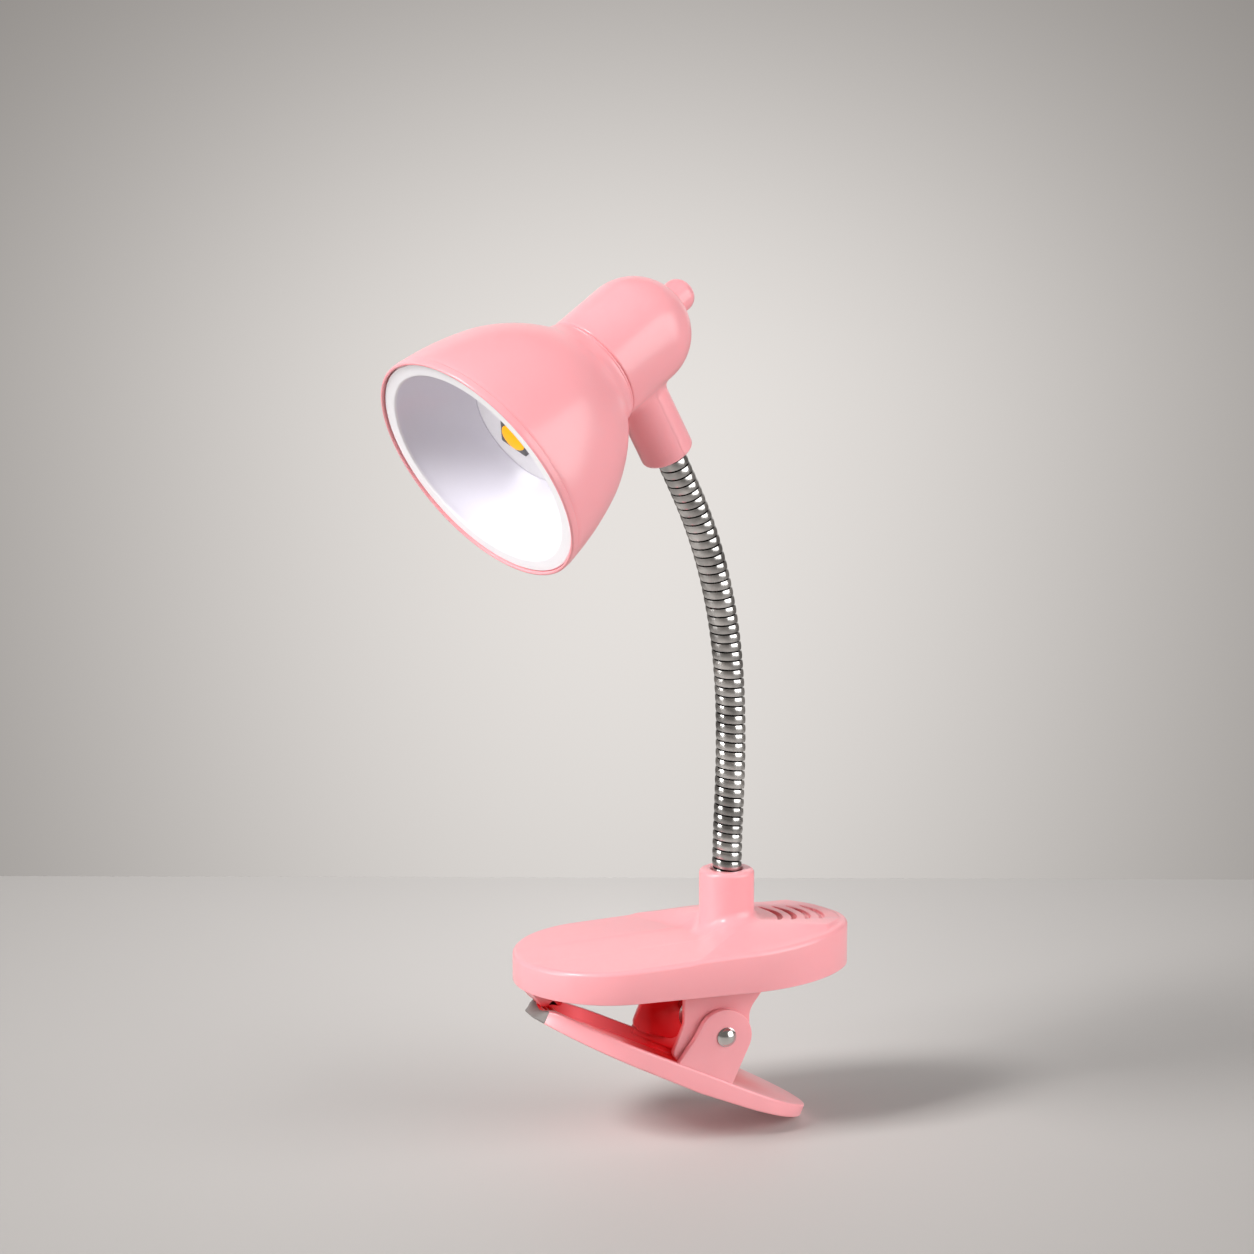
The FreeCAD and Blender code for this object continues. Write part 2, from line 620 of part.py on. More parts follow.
def make_tray_floor(body):
    """Stiffening on the tray's floor: a raised spine, a round ejector boss and two gripping ribs."""
    floor = lever_floor + d.lever_wall
    front = shoe_back + 6.0
    back = -2 * d.ear_round
    spine = [(front, -4.5), (back, -6), (back, 6), (front, 4.5)]
    pad(body, "spine", outline(body, "spine_plan", "XY", spine, floor - SINK), SINK + 0.8)
    boss = rounds(body, "boss_plan", "XY", [(front + 4.5, 0, 1.7)], floor)
    pad(body, "boss", boss, 1.6)
    x, rib_half = shoe_back + 3.0, 9.5
    rib = [(x, -rib_half), (x + 1, -rib_half), (x + 1, rib_half), (x, rib_half)]
    plan = outline(body, "rib_plan", "XY", rib, floor - SINK)
    first = pad(body, "rib", plan, SINK + d.lever_deep - d.lever_wall - 0.6)
    row_of(body, "ribs", [first], plan, 2.2, 2)


def make_outer_ears(body):
    """Two round-topped ears up from the lever's floor, outside the upper lever's."""
    rounding = d.ear_round
    foot, flare = lever_floor + SINK, rounding + 1.9
    ear = [
        (rounding, foot),
        (rounding, 0, rounding),
        (0, rounding, rounding),
        (-rounding, 0),
        (-flare, -lever_top),
        (-flare, foot),
    ]
    near = outline(body, "outer_ear_profile", "XZ", ear, outer_ear)
    first = pad(body, "outer_ear", near, d.ear_wall, Reversed=True)
    mirrored(body, "outer_ears", [first])
    hole = rounds(body, "ear_hole_plan", "XZ", [(0, 0, d.pin_half + d.pin_gap)])
    pocket(body, "ear_holes", hole, BEYOND, SideType="Symmetric")


def make_tip_shoe():
    """The moulded rubber tip: the lever's nose, with a groove across its gripping face."""
    body = new_body("jaw_tip_shoe", LEVER_PLACE)
    lever_blank(body)
    behind = [(shoe_back, -BEYOND), (BEYOND, -BEYOND), (BEYOND, BEYOND), (shoe_back, BEYOND)]
    pocket(body, "lever_side", outline(body, "lever_side_plan", "XY", behind, 1), BEYOND)
    x = shoe_back - 1.1
    groove = [(x - 0.4, -lever_top), (x, -lever_top - 0.5), (x + 0.4, -lever_top), (x, 1 - lever_top)]
    pocket(body, "grip_groove", outline(body, "groove_profile", "XZ", groove), BEYOND, SideType="Symmetric")
    return body


def make_hinge_pin():
    """A rivet along Y with a domed head at each end."""
    reach = outer_ear + d.pin_gap
    dome = bow(d.pin_head, d.pin_dome)
    place = FreeCAD.Placement(PIN, FreeCAD.Rotation(FreeCAD.Vector(1, 0, 0), 90))
    body = new_body("hinge_pin", place)
    turned(body, "rivet", [
        (0, -reach - d.pin_dome, dome),
        (d.pin_head, -reach),
        (d.pin_half, -reach),
        (d.pin_half, reach),
        (d.pin_head, reach, dome),
        (0, reach + d.pin_dome),
    ])
    return body


def tangent_angle(along, up, side):
    """The angle of the point of the spring's coil where a straight leg to a place leaves it."""
    return math.atan2(up, along) + side * math.acos(d.coil_mean.value / math.hypot(along, up))


def make_torsion_spring():
    """A coil round the pin whose two legs leave it straight and push the thumb levers apart.

    It is drawn about its own Z axis, with its Y axis up and its coil wound towards the clip's right."""
    lift = d.wire_half + d.wire_gap
    lean = math.radians(d.lever_angle.value)
    deck = (lift - lever_top).value
    lower_x = d.leg_deck.value * math.cos(lean) + deck * math.sin(lean)
    lower_y = deck * math.cos(lean) - d.leg_deck.value * math.sin(lean)
    upper_x = d.leg_roof.value
    upper_y = (d.pin_down + roof_at_neck + deck_slope * (d.leg_roof + pin_x) - SINK - lift).value
    first = tangent_angle(lower_x, lower_y, -1)
    last = tangent_angle(upper_x, upper_y, 1) - math.tau * SPRING_TURNS
    half_wide = d.coil_pitch.value * SPRING_TURNS / 2
    turns = coil(first, last, d.coil_mean.value, d.coil_mean.value, -half_wide, half_wide)
    lower_end = FreeCAD.Vector(lower_x, lower_y, -half_wide)
    upper_end = FreeCAD.Vector(upper_x, upper_y, half_wide)
    place = FreeCAD.Placement(PIN, FreeCAD.Rotation(FreeCAD.Vector(1, 0, 0), 90))
    return wire_along("torsion_spring", [lower_end, *turns, upper_end], d.wire_half.value, place)


# ---- neck ------------------------------------------------------------------------------------

NECK_TURN = FreeCAD.Rotation(FreeCAD.Vector(0, 0, 1), 180 + d.neck_swing.value)
link_long = d.wind_pitch * WINDS_PER_LINK
joint_groove = d.cup_rim / 2


def lean_rotation(lean):
    """A neck length's own Z axis leans out of the vertical, in the neck's plane."""
    return NECK_TURN.multiply(FreeCAD.Rotation(FreeCAD.Vector(0, 1, 0), lean))


def neck_places():
    """The place of each joint, turned as the length above it leans, and the socket's mouth."""
    point = CLIP + FreeCAD.Vector(0, 0, d.tower_top.value + d.stub.value)
    places = []
    for lean in NECK_LEANS[1:]:
        rotation = lean_rotation(lean)
        places.append(FreeCAD.Placement(point, rotation))
        point = point + rotation.multVec(FreeCAD.Vector(0, 0, link_long.value))
    last = lean_rotation(d.head_tilt.value)
    places.append(FreeCAD.Placement(point, last))
    mouth = point + last.multVec(FreeCAD.Vector(0, 0, d.stub.value))
    return places, mouth


def windings(start, count):
    """The outer edge of the hose, going up: flat bands with a V groove between each two."""
    half_open = 0.3
    corners = []
    for i in range(count):
        middle = start + d.wind_pitch * i
        bottom = (d.hose_half - d.wind_groove, middle)
        corners += [(d.hose_half, middle - half_open), bottom, (d.hose_half, middle + half_open)]
    return corners


def cup():
    """The concave lower end of a length, centred on the joint below it, and its outer edge."""
    reach = d.hose_half + d.cup_gap
    inner = (d.hose_bore, leg(reach, d.hose_bore), -reach)
    return [inner, (leg(reach, d.cup_rim), d.cup_rim), (d.hose_half, d.cup_rim)]


def ball(height):
    """The upper end of a length, in two bevels inside a ball centred on the joint above it."""
    shoulder = d.cup_rim + d.wind_groove
    return [
        (d.hose_half, height),
        (leg(d.hose_half, shoulder), height + shoulder),
        (d.hose_bore, height + leg(d.hose_half, d.hose_bore)),
    ]


def make_neck(places):
    base_long = d.stub + d.seat_depth + d.ferrule_long
    base_place = FreeCAD.Placement(places[0].Base, lean_rotation(NECK_LEANS[0]))
    base = new_body("neck_base", base_place)
    turned(base, "winding", [
        (d.hose_bore, -base_long),
        (d.hose_half, -base_long),
        *windings(joint_groove - d.wind_pitch * 3, 3),
        *ball(as_size(0)),
    ])
    for number, place in enumerate(places[:-1], 1):
        link = new_body(f"neck_link_{number}", place)
        grooves = windings(joint_groove + d.wind_pitch, WINDS_PER_LINK - 1)
        turned(link, "winding", [*cup(), *grooves, *ball(link_long)])
    top_long = d.stub + d.seat_depth + d.ferrule_long
    top = new_body("neck_top", places[-1])
    turned(top, "winding", [
        *cup(),
        *windings(joint_groove + d.wind_pitch, 2),
        (d.hose_half, top_long),
        (d.hose_bore, top_long),
    ])


def make_ferrule(name, place, shoulder):
    """A sleeve crimped on the neck's end with two rolled rings. Its shoulder stops the neck pulling out."""
    body = new_body(name, place)
    inner = d.hose_half + SNUG
    outer = d.ferrule_half
    low, high = shoulder - d.ferrule_long, shoulder
    crimps = []
    for share in (0.35, 0.65):
        middle = low + d.ferrule_long * share
        crimps += [(outer, middle - 0.5), (outer - 0.3, middle), (outer, middle + 0.5)]
    turned(body, "sleeve", [(inner, low), (outer, low), *crimps, (outer, high), (inner, high)])
    return body


def make_neck_retainer():
    """A stamped plate under the roof that holds the ferrule up in the tower, and its two screws."""
    place = FreeCAD.Placement(CLIP, FreeCAD.Rotation())
    body = new_body("neck_retainer", place)
    reach, half, thick = d.screw_out, d.retainer_half, d.retainer_thick
    plate = [
        (0, -reach - half, half),
        (half, -reach),
        (half, reach, half),
        (0, reach + half, half),
        (-half, reach),
        (-half, -reach, half),
    ]
    pad(body, "plate", outline(body, "plate_plan", "XY", plate, retainer_top - thick), thick)
    pair = [(0, -reach), (0, reach)]
    holes = rounds(body, "holes_plan", "XY", [(*at, d.screw_half + 0.15) for at in pair], retainer_top)
    pocket(body, "screw_holes", holes, thick)
    screws = new_body("retainer_screws", place)
    seat = retainer_top - thick
    heads = rounds(screws, "heads_plan", "XY", [(*at, d.screw_head) for at in pair], seat - d.screw_head_high)
    pad(screws, "heads", heads, d.screw_head_high, AllowMultiFace=True)
    shanks = rounds(screws, "shanks_plan", "XY", [(*at, d.screw_half) for at in pair], seat)
    pad(screws, "shanks", shanks, thick, AllowMultiFace=True)


# ---- head ------------------------------------------------------------------------------------

RING_THICK = 1.2


def head_place(mouth):
    """The head's frame: its origin is the middle of the rim, its Z axis runs back along the housing."""
    twist = FreeCAD.Rotation(FreeCAD.Vector(1, 0, 0), -d.head_twist.value)
    rotation = lean_rotation(d.head_tilt.value - 90).multiply(twist)
    to_origin = FreeCAD.Vector(d.socket_reach.value, 0, -d.socket_back.value)
    return FreeCAD.Placement(mouth + rotation.multVec(to_origin), rotation)


def make_shade(place):
    """The bell: a bead round its rim, a seat for the reflector's ring and a collar bored for the spigot."""
    wall = d.shade_wall
    body = new_body("shade_shell", place)
    seat = d.ring_back + RING_THICK + 0.1
    ring_bore = d.ring_half + 0.1
    bore = d.spigot_half + d.spigot_gap
    bead, edge = 1.5, 0.3
    turned(body, "bell", [
        (ring_bore, 0),
        (d.rim_half - edge, 0),
        (d.rim_half, edge),
        (d.rim_half, bead),
        (d.rim_half - edge, bead + edge),
        (d.rim_half - 0.1, bead + 0.8, d.skirt_bow),
        (d.shade_mid_half, d.shade_mid, d.shoulder_bow),
        (d.shade_neck_half, d.shade_neck, -1.6),
        (d.collar_half, d.shade_neck + 1.1),
        (d.collar_half, d.shade_long - edge),
        (d.collar_half - edge, d.shade_long),
        (bore, d.shade_long),
        (bore, d.spigot_front - 0.4),
        (d.shade_neck_half - wall + 2.0, d.spigot_front - 0.4, wall - d.shoulder_bow),
        (d.shade_mid_half - wall, d.shade_mid - 0.5, wall - d.skirt_bow),
        (d.ring_half - 0.4, seat),
        (ring_bore, seat),
    ])
    return body


def make_reflector(place):
    """A white cone with a flat front ring that drops into the rim, and a skirt that holds the lamp board."""
    body = new_body("reflector", place)
    thick = 1.0
    front, edge = d.ring_back, 0.4
    skirt = d.floor_half + 1.6
    skirt_back = d.floor_back + d.board_thick + 1.0
    turned(body, "cone", [
        (d.ring_inner + edge, front),
        (d.ring_half, front),
        (d.ring_half, front + RING_THICK),
        (d.ring_inner + 0.2, front + RING_THICK),
        (skirt, d.floor_back - 0.4),
        (skirt, skirt_back),
        (skirt - thick, skirt_back),
        (skirt - thick, d.floor_back),
        (d.floor_half, d.floor_back),
        (d.ring_inner, front + edge),
    ])
    return body


front_contact_front = d.cells_front - 2.4
CONTACT_THICK = 0.5


PACKAGE_TURN = 30


def make_lamp(place):
    """The lamp board with its pedestal, the square package on that, the phosphor disc and two leads."""
    board = new_body("led_board", place)
    plan = rounds(board, "board_plan", "XY", [(0, 0, d.floor_half + 0.55)], d.floor_back)
    pad(board, "board", plan, d.board_thick)
    raised = rounds(board, "pedestal_plan", "XY", [(0, 0, d.pedestal_half)], d.floor_back)
    pad(board, "pedestal", raised, d.pedestal_high, Reversed=True)
    package = new_body("led_package", place)
    front = d.floor_back - d.pedestal_high - d.package_thick
    reach = d.package_wide * math.sqrt(0.5)
    turns = [math.radians(PACKAGE_TURN + corner) for corner in (45, 135, 225, 315)]
    square = [(reach * math.cos(turn), reach * math.sin(turn)) for turn in turns]
    pad(package, "case", outline(package, "case_plan", "XY", square, front), d.package_thick)
    emitter = new_body("led_emitter", place)
    turned(emitter, "disc", [
        (0, front - 0.45),
        (d.glow_half - 0.3, front - 0.3),
        (d.glow_half, front),
        (0, front),
    ])
    leads = new_body("led_leads", place)
    board_back = d.floor_back + d.board_thick
    ends = rounds(leads, "lead_plan", "XY", [(0, 5.0, 0.5), (0, -5.0, 0.5)], board_back)
    pad(leads, "leads", ends, front_contact_front - board_back, AllowMultiFace=True)


def make_housing(place):
    """The battery barrel: a spigot for the shade, a domed tail with the nub's hole, and a neck socket."""
    body = new_body("head_housing", place)
    radius = d.housing_half
    hole = d.nub_half + d.nub_gap
    edge = 0.4
    end_wall = d.flange_back + 0.2
    flange_hole = d.flange_half + 0.6
    turned(body, "barrel", [
        (d.housing_bore, d.spigot_front),
        (d.spigot_half, d.spigot_front),
        (d.spigot_half, d.housing_front),
        (radius - edge, d.housing_front),
        (radius, d.housing_front + edge),
        (radius, d.dome_back, radius),
        (hole, d.dome_back + leg(radius, hole)),
        (hole, end_wall),
        (flange_hole, end_wall),
        (d.housing_bore, end_wall - (d.housing_bore - flange_hole) - 0.5),
    ])
    axis = (0, d.socket_back)
    plan = rounds(body, "socket_plan", "YZ", [(*axis, d.socket_half)], -d.socket_reach)
    socket = pad(body, "socket", plan, d.socket_reach - d.housing_bore - 0.6)
    dressed(body, "Chamfer", "socket_mouth", socket, at_socket_mouth, d.tower_edge)
    passage = rounds(body, "passage_plan", "YZ", [(*axis, d.hose_half + d.neck_gap)], -d.socket_reach)
    pocket(body, "neck_passage", passage, d.socket_reach - PASSAGE_END, Reversed=True)
    shoulder = d.seat_depth - d.socket_reach
    seat = rounds(body, "seat_plan", "YZ", [(*axis, d.ferrule_half + d.ferrule_gap)], shoulder)
    pocket(body, "ferrule_seat", seat, -shoulder - PASSAGE_END, Reversed=True)
    return body


# The neck's passage runs from the socket's mouth to this far from the head's axis, inside the bore.
PASSAGE_END = 5.0


def at_socket_mouth(edge):
    return edge.BoundBox.XMax < 1e-3 - d.socket_reach.value


def make_switch(place):
    """A push switch behind the cells, and the nub on the tail that presses it."""
    cells_back = d.cells_front + d.cell_thick * CELL_COUNT
    front = cells_back + CONTACT_THICK
    flange = d.flange_back - d.flange_thick
    top = flange - d.switch_travel - d.press_gap
    stem_end = top - 1.2
    case = new_body("switch_body", place)
    half = d.switch_half
    square = [(-half, -half), (half, -half), (half, half), (-half, half)]
    pad(case, "case", outline(case, "case_plan", "XY", square, front), top - front)
    well = rounds(case, "stem_well_plan", "XY", [(0, 0, d.stem_half + 0.2)], top)
    pocket(case, "stem_well", well, top - stem_end + d.switch_travel + d.press_gap)
    nub = new_body("switch_button", place)
    turned(nub, "nub", [
        (0, stem_end),
        (d.stem_half, stem_end),
        (d.stem_half, flange),
        (d.flange_half, flange),
        (d.flange_half, d.flange_back),
        (d.nub_half, d.flange_back),
        (d.nub_half, d.nub_end - d.nub_round, d.nub_round),
        (d.nub_half - d.nub_round, d.nub_end),
        (0, d.nub_end),
    ])
    contact = new_body("rear_contact", place)
    disc = rounds(contact, "disc_plan", "XY", [(0, 0, d.cell_half + 1.6)], cells_back)
    pad(contact, "disc", disc, CONTACT_THICK)


def make_cells(place):
    """Three button cells in a sleeve, and the contact plate ahead of them."""
    crimp = 1.0
    for number in range(CELL_COUNT):
        low = d.cells_front + d.cell_thick * number
        cell = new_body(f"button_cell_{number + 1}", place)
        turned(cell, "can", [
            (0, low),
            (d.cell_half - crimp, low),
            (d.cell_half - crimp, low + 0.3),
            (d.cell_half, low + 0.7),
            (d.cell_half, low + d.cell_thick),
            (0, low + d.cell_thick),
        ])
    tube = new_body("cell_tube", place)
    inner, outer = d.cell_half + 0.15, d.housing_bore - 0.1
    low, high = d.cells_front - 1.2, d.cells_front + d.cell_thick * CELL_COUNT
    turned(tube, "tube", [(inner, low), (outer, low), (outer, high), (inner, high)])
    contact = new_body("front_contact", place)
    disc = rounds(contact, "disc_plan", "XY", [(0, 0, d.housing_bore - 0.2)], front_contact_front)
    pad(contact, "disc", disc, CONTACT_THICK)


def make_contact_spring(place):
    """A conical spring between the front contact and the first cell."""
    wire = 0.3
    low = (front_contact_front + CONTACT_THICK + wire).value
    high = (d.cells_front - wire).value
    turns = coil(0, math.tau * 1.75, 4.2, 3.6, low, high)
    return wire_along("contact_spring", turns, wire, place)


def make_seal_ring(place):
    """The rubber ring pinched between the shade's collar and the housing."""
    body = new_body("seal_ring", place)
    inner, outer = d.spigot_half + SNUG, d.collar_half - 0.5
    low, high = d.shade_long, d.housing_front
    bulge = (outer + 0.2, (low + high) / 2)
    turned(body, "ring", [(inner, low), (outer, low), bulge, (outer, high), (inner, high)])


# ---- the whole lamp -----------------------------------------------------------------------------


def check_and_export():
    doc.recompute()
    for thing in doc.Objects:
        if "Invalid" in thing.State or "Error" in thing.State:
            raise RuntimeError(f"{thing.Name} failed: {thing.State}")
    os.makedirs("parts", exist_ok=True)
    nodes = [o for o in doc.Objects if o.TypeId in ("PartDesign::Body", "Part::Feature")]
    for node in nodes:
        shape = node.Shape
        if shape.isNull() or not shape.isValid():
            raise RuntimeError(f"{node.Label} has no valid shape")
        print(f"{node.Label:16s} solids {len(shape.Solids)} volume {shape.Volume:9.2f}")
        shape.exportStep(f"parts/{node.Label}.step")


make_upper_lever()
make_lower_lever()
make_tip_shoe()
make_hinge_pin()
make_torsion_spring()
link_places, socket_mouth = neck_places()
make_neck(link_places)
make_ferrule("lower_ferrule", FreeCAD.Placement(CLIP, FreeCAD.Rotation()), seat_shoulder)
make_neck_retainer()
head = head_place(socket_mouth)
socket_turn = FreeCAD.Rotation(FreeCAD.Vector(0, 1, 0), -90)
socket_side = FreeCAD.Placement(FreeCAD.Vector(0, 0, d.socket_back.value), socket_turn)
make_ferrule("upper_ferrule", head.multiply(socket_side), d.socket_reach - d.seat_depth)
make_shade(head)
make_reflector(head)
make_lamp(head)
make_housing(head)
make_seal_ring(head)
make_switch(head)
make_cells(head)
make_contact_spring(head)
check_and_export()
# The neck's joint centres and the head's origin and axis, for whoever assembles the pieces.
for number, place in enumerate(link_places, 1):
    print("joint", number, [round(c, 3) for c in place.Base])
print("head origin", [round(c, 3) for c in head.Base])
print("head axis", [round(c, 6) for c in head.Rotation.multVec(FreeCAD.Vector(0, 0, 1))])
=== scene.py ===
import json
import math

import bmesh
import bpy
from mathutils import Matrix, Vector


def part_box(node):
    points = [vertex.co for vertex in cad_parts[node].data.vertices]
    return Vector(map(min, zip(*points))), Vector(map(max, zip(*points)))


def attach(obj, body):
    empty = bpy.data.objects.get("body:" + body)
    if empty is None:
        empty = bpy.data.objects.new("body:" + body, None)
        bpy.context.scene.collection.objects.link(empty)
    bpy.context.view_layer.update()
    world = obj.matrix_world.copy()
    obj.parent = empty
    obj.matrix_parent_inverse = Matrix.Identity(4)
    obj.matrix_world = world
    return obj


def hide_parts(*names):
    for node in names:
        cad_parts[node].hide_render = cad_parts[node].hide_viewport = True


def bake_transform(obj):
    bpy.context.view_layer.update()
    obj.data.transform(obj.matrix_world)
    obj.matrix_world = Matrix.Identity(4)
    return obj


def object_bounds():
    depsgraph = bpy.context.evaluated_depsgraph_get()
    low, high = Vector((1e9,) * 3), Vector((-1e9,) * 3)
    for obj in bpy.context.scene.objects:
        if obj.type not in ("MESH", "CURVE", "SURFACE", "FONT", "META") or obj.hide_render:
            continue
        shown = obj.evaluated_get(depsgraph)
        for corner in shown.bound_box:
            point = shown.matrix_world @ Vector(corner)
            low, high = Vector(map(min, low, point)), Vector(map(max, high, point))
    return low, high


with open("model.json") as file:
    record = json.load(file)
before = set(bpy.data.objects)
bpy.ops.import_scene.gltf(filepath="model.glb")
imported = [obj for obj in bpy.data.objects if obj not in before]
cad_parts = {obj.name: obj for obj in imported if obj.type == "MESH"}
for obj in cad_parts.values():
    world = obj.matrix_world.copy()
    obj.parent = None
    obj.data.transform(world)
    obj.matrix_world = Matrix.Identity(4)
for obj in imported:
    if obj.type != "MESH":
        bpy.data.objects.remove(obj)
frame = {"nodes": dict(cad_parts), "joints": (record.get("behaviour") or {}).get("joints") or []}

cad_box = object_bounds()
MM = 0.001

# ---- Camera --------------------------------------------------------------------------------------
# A long lens a little above the clip, looking across its left side.

AIM = Vector((26.9, 19.8, 76.8)) * MM
VIEW_TURN, VIEW_RISE, VIEW_ROLL = math.radians(-19.93), math.radians(10.13), math.radians(0.16)
VIEW_FAR = 0.7661


def looking(turn, rise, roll=0.0):
    """The turn of a camera or lamp that looks at the middle of the scene from turn and rise."""
    upright = Matrix.Rotation(math.pi / 2 - rise, 4, "X") @ Matrix.Rotation(roll, 4, "Z")
    return Matrix.Rotation(turn, 4, "Z") @ upright


def stand(thing, turn, rise, far, roll=0.0, aim=AIM):
    """Stands a camera or lamp far metres from aim."""
    turned = looking(turn, rise, roll)
    thing.matrix_world = Matrix.Translation(aim + turned.to_3x3() @ Vector((0, 0, far))) @ turned


camera = bpy.data.objects.new("camera", bpy.data.cameras.new("camera"))
bpy.context.collection.objects.link(camera)
camera.data.lens = 100.39
camera.data.sensor_width = 36
camera.data.clip_end = 20
stand(camera, VIEW_TURN, VIEW_RISE, VIEW_FAR, VIEW_ROLL)
bpy.context.scene.camera = camera
bpy.context.scene.view_settings.view_transform = "Standard"

# ---- Floor, backdrop and lamps -------------------------------------------------------------------
# A pale table that ends a little way behind the lamp, before a wall with a soft glow on it. The key
# stands high on the left over a low side lamp, a wide fill on the right and a weak one at the back.

FLOOR = cad_box[0][2]
FLOOR_BEHIND, FLOOR_AHEAD, FLOOR_ASIDE, FLOOR_BACK_SHIFT = 0.053, 1.7, 1.4, 0.15
ROOM = 0.15


class Wire:
    """The output of a node. Sums, differences and products of wires add their Math nodes."""

    def __init__(self, graph, socket):
        self.graph = graph
        self.socket = socket

    def maths(self, operation, *others):
        sockets = dict(enumerate((self, *others)))
        return self.graph.node("Math", {"operation": operation}, sockets)

    def __add__(self, other):
        return self.maths("ADD", other)

    def __sub__(self, other):
        return self.maths("SUBTRACT", other)

    def __mul__(self, other):
        return self.maths("MULTIPLY", other)

    def __rsub__(self, other):
        return (self * -1.0) + other

    def clamp(self):
        return self.maths("MAXIMUM", 0.0).maths("MINIMUM", 1.0)

    __radd__ = __add__
    __rmul__ = __mul__


class Graph:
    """The node tree of a material or the world."""

    def __init__(self, tree, coordinates):
        self.nodes = tree.nodes
        self.links = tree.links
        self.place = self.node("TexCoord", output=coordinates)

    def feed(self, node, sockets):
        for name, value in sockets.items():
            if isinstance(value, Wire):
                self.links.new(value.socket, node.inputs[name])
            else:
                node.inputs[name].default_value = value

    def node(self, kind, settings=None, sockets=None, output=0):
        node = self.nodes.new("ShaderNode" + kind)
        for name, value in (settings or {}).items():
            setattr(node, name, value)
        self.feed(node, sockets or {})
        return Wire(self, node.outputs[output])

    def along(self, direction, where=None):
        """The distance along a direction."""
        sockets = {0: where or self.place, 1: direction}
        return self.node("VectorMath", {"operation": "DOT_PRODUCT"}, sockets, "Value")

    def noise(self, scale, detail=2.0, where=None):
        sockets = {"Vector": where or self.place, "Scale": scale, "Detail": detail}
        return self.node("TexNoise", None, sockets)

    def blend(self, factor, first, second):
        """A mix of two colours, each a wire or a triple."""
        mix = self.nodes.new("ShaderNodeMix")
        mix.data_type = "RGBA"
        colours = [c if isinstance(c, Wire) else (*c, 1.0) for c in (first, second)]
        self.feed(mix, {"Factor": factor, 6: colours[0], 7: colours[1]})
        return Wire(self, mix.outputs[2])


class Finish(Graph):
    """A material in the making, with its constants set on the shader's own sockets."""

    def __init__(self, name, constants):
        self.material = bpy.data.materials.new(name)
        self.material.use_nodes = True
        super().__init__(self.material.node_tree, "Object")
        self.shader = self.nodes["Principled BSDF"]
        self.paint(constants)

    def paint(self, sockets):
        self.feed(self.shader, sockets)

    def bump(self, height, distance, strength=1.0):
        sockets = {"Height": height, "Distance": distance, "Strength": strength}
        self.paint({"Normal": self.node("Bump", None, sockets)})


floor_paint = Finish("floor_paint", {"Roughness": 0.6, "Specular IOR Level": 0.25})
flattened = {0: floor_paint.place, 1: (1, 0.6, 0)}
stretched = floor_paint.node("VectorMath", {"operation": "MULTIPLY"}, flattened)
spread = floor_paint.node("VectorMath", {"operation": "LENGTH"}, {0: stretched}, "Value")
# The floor's tone is a painted pool of light: lightest round the floor's origin behind the clip and darker
# farther out.
painted_light_falloff = (spread * 3.2).clamp()
floor_paint.paint({"Base Color": floor_paint.blend(painted_light_falloff, (0.70, 0.668, 0.645), (0.235, 0.221, 0.209))})

bm = bmesh.new()
bmesh.ops.create_grid(bm, x_segments=1, y_segments=1, size=1.0)
bmesh.ops.scale(bm, vec=(FLOOR_ASIDE, (FLOOR_AHEAD + FLOOR_BEHIND) / 2, 1), verts=bm.verts)
bmesh.ops.translate(bm, vec=(0, (FLOOR_BEHIND - FLOOR_AHEAD) / 2, 0), verts=bm.verts)
floor_mesh = bpy.data.meshes.new("floor")
bm.to_mesh(floor_mesh)
bm.free()
floor_mesh.materials.append(floor_paint.material)
floor = bpy.data.objects.new("floor", floor_mesh)
bpy.context.collection.objects.link(floor)
floor_turn = Matrix.Rotation(VIEW_TURN, 4, "Z") @ Matrix.Translation((0, FLOOR_BACK_SHIFT, 0))
floor.matrix_world = Matrix.Translation((AIM.x, AIM.y, FLOOR)) @ floor_turn

bpy.context.scene.world = bpy.data.worlds.new("studio")
bpy.context.scene.world.use_nodes = True
studio = Graph(bpy.context.scene.world.node_tree, "Generated")
right, up, behind = looking(VIEW_TURN, VIEW_RISE).to_3x3().col
sideways = studio.along(right)
height = studio.along(up) - 0.056
climb = height.maths("MAXIMUM", height * -0.46)
faded = (sideways * sideways) * -31.0 - climb * climb * 55.0
glow = faded.maths("EXPONENT") * studio.along(-behind).maths("MAXIMUM", 0.0)
wall = studio.blend(glow, (0.205, 0.190, 0.178), (0.80, 0.765, 0.735))
rays = studio.nodes.new("ShaderNodeLightPath")
shown = Wire(studio, rays.outputs["Is Camera Ray"])
for kind in ("Is Glossy Ray", "Is Transmission Ray"):
    shown = shown.maths("MAXIMUM", Wire(studio, rays.outputs[kind]))
studio.feed(studio.nodes["Background"], {"Color": studio.blend(shown, (ROOM, ROOM, ROOM), wall)})


def lamp(name, turn, rise, far, wide, tall, watts):
    light = bpy.data.lights.new(name, "AREA")
    light.shape = "RECTANGLE"
    light.size, light.size_y = wide, tall
    light.energy = watts
    made = bpy.data.objects.new(name, light)
    bpy.context.collection.objects.link(made)
    stand(made, math.radians(turn), math.radians(rise), far)


lamp("key", -76, 41, 1.2, 0.36, 0.36, 14.2)
lamp("side", -88, 6, 1.2, 0.6, 0.3, 6.0)
lamp("fill", 49, 15, 1.2, 1.2, 0.9, 14.2)
lamp("back", 160, 20, 1.2, 1.6, 0.8, 2.6)

# ---- Upper lever of the clip ---------------------------------------------------------------------
# One pink moulding: an oval hollow deck with a raised thumb rest, the neck's tower, a gripping lip
# under the nose and two ears for the hinge. It is injection moulded in a glossy styrene plastic.

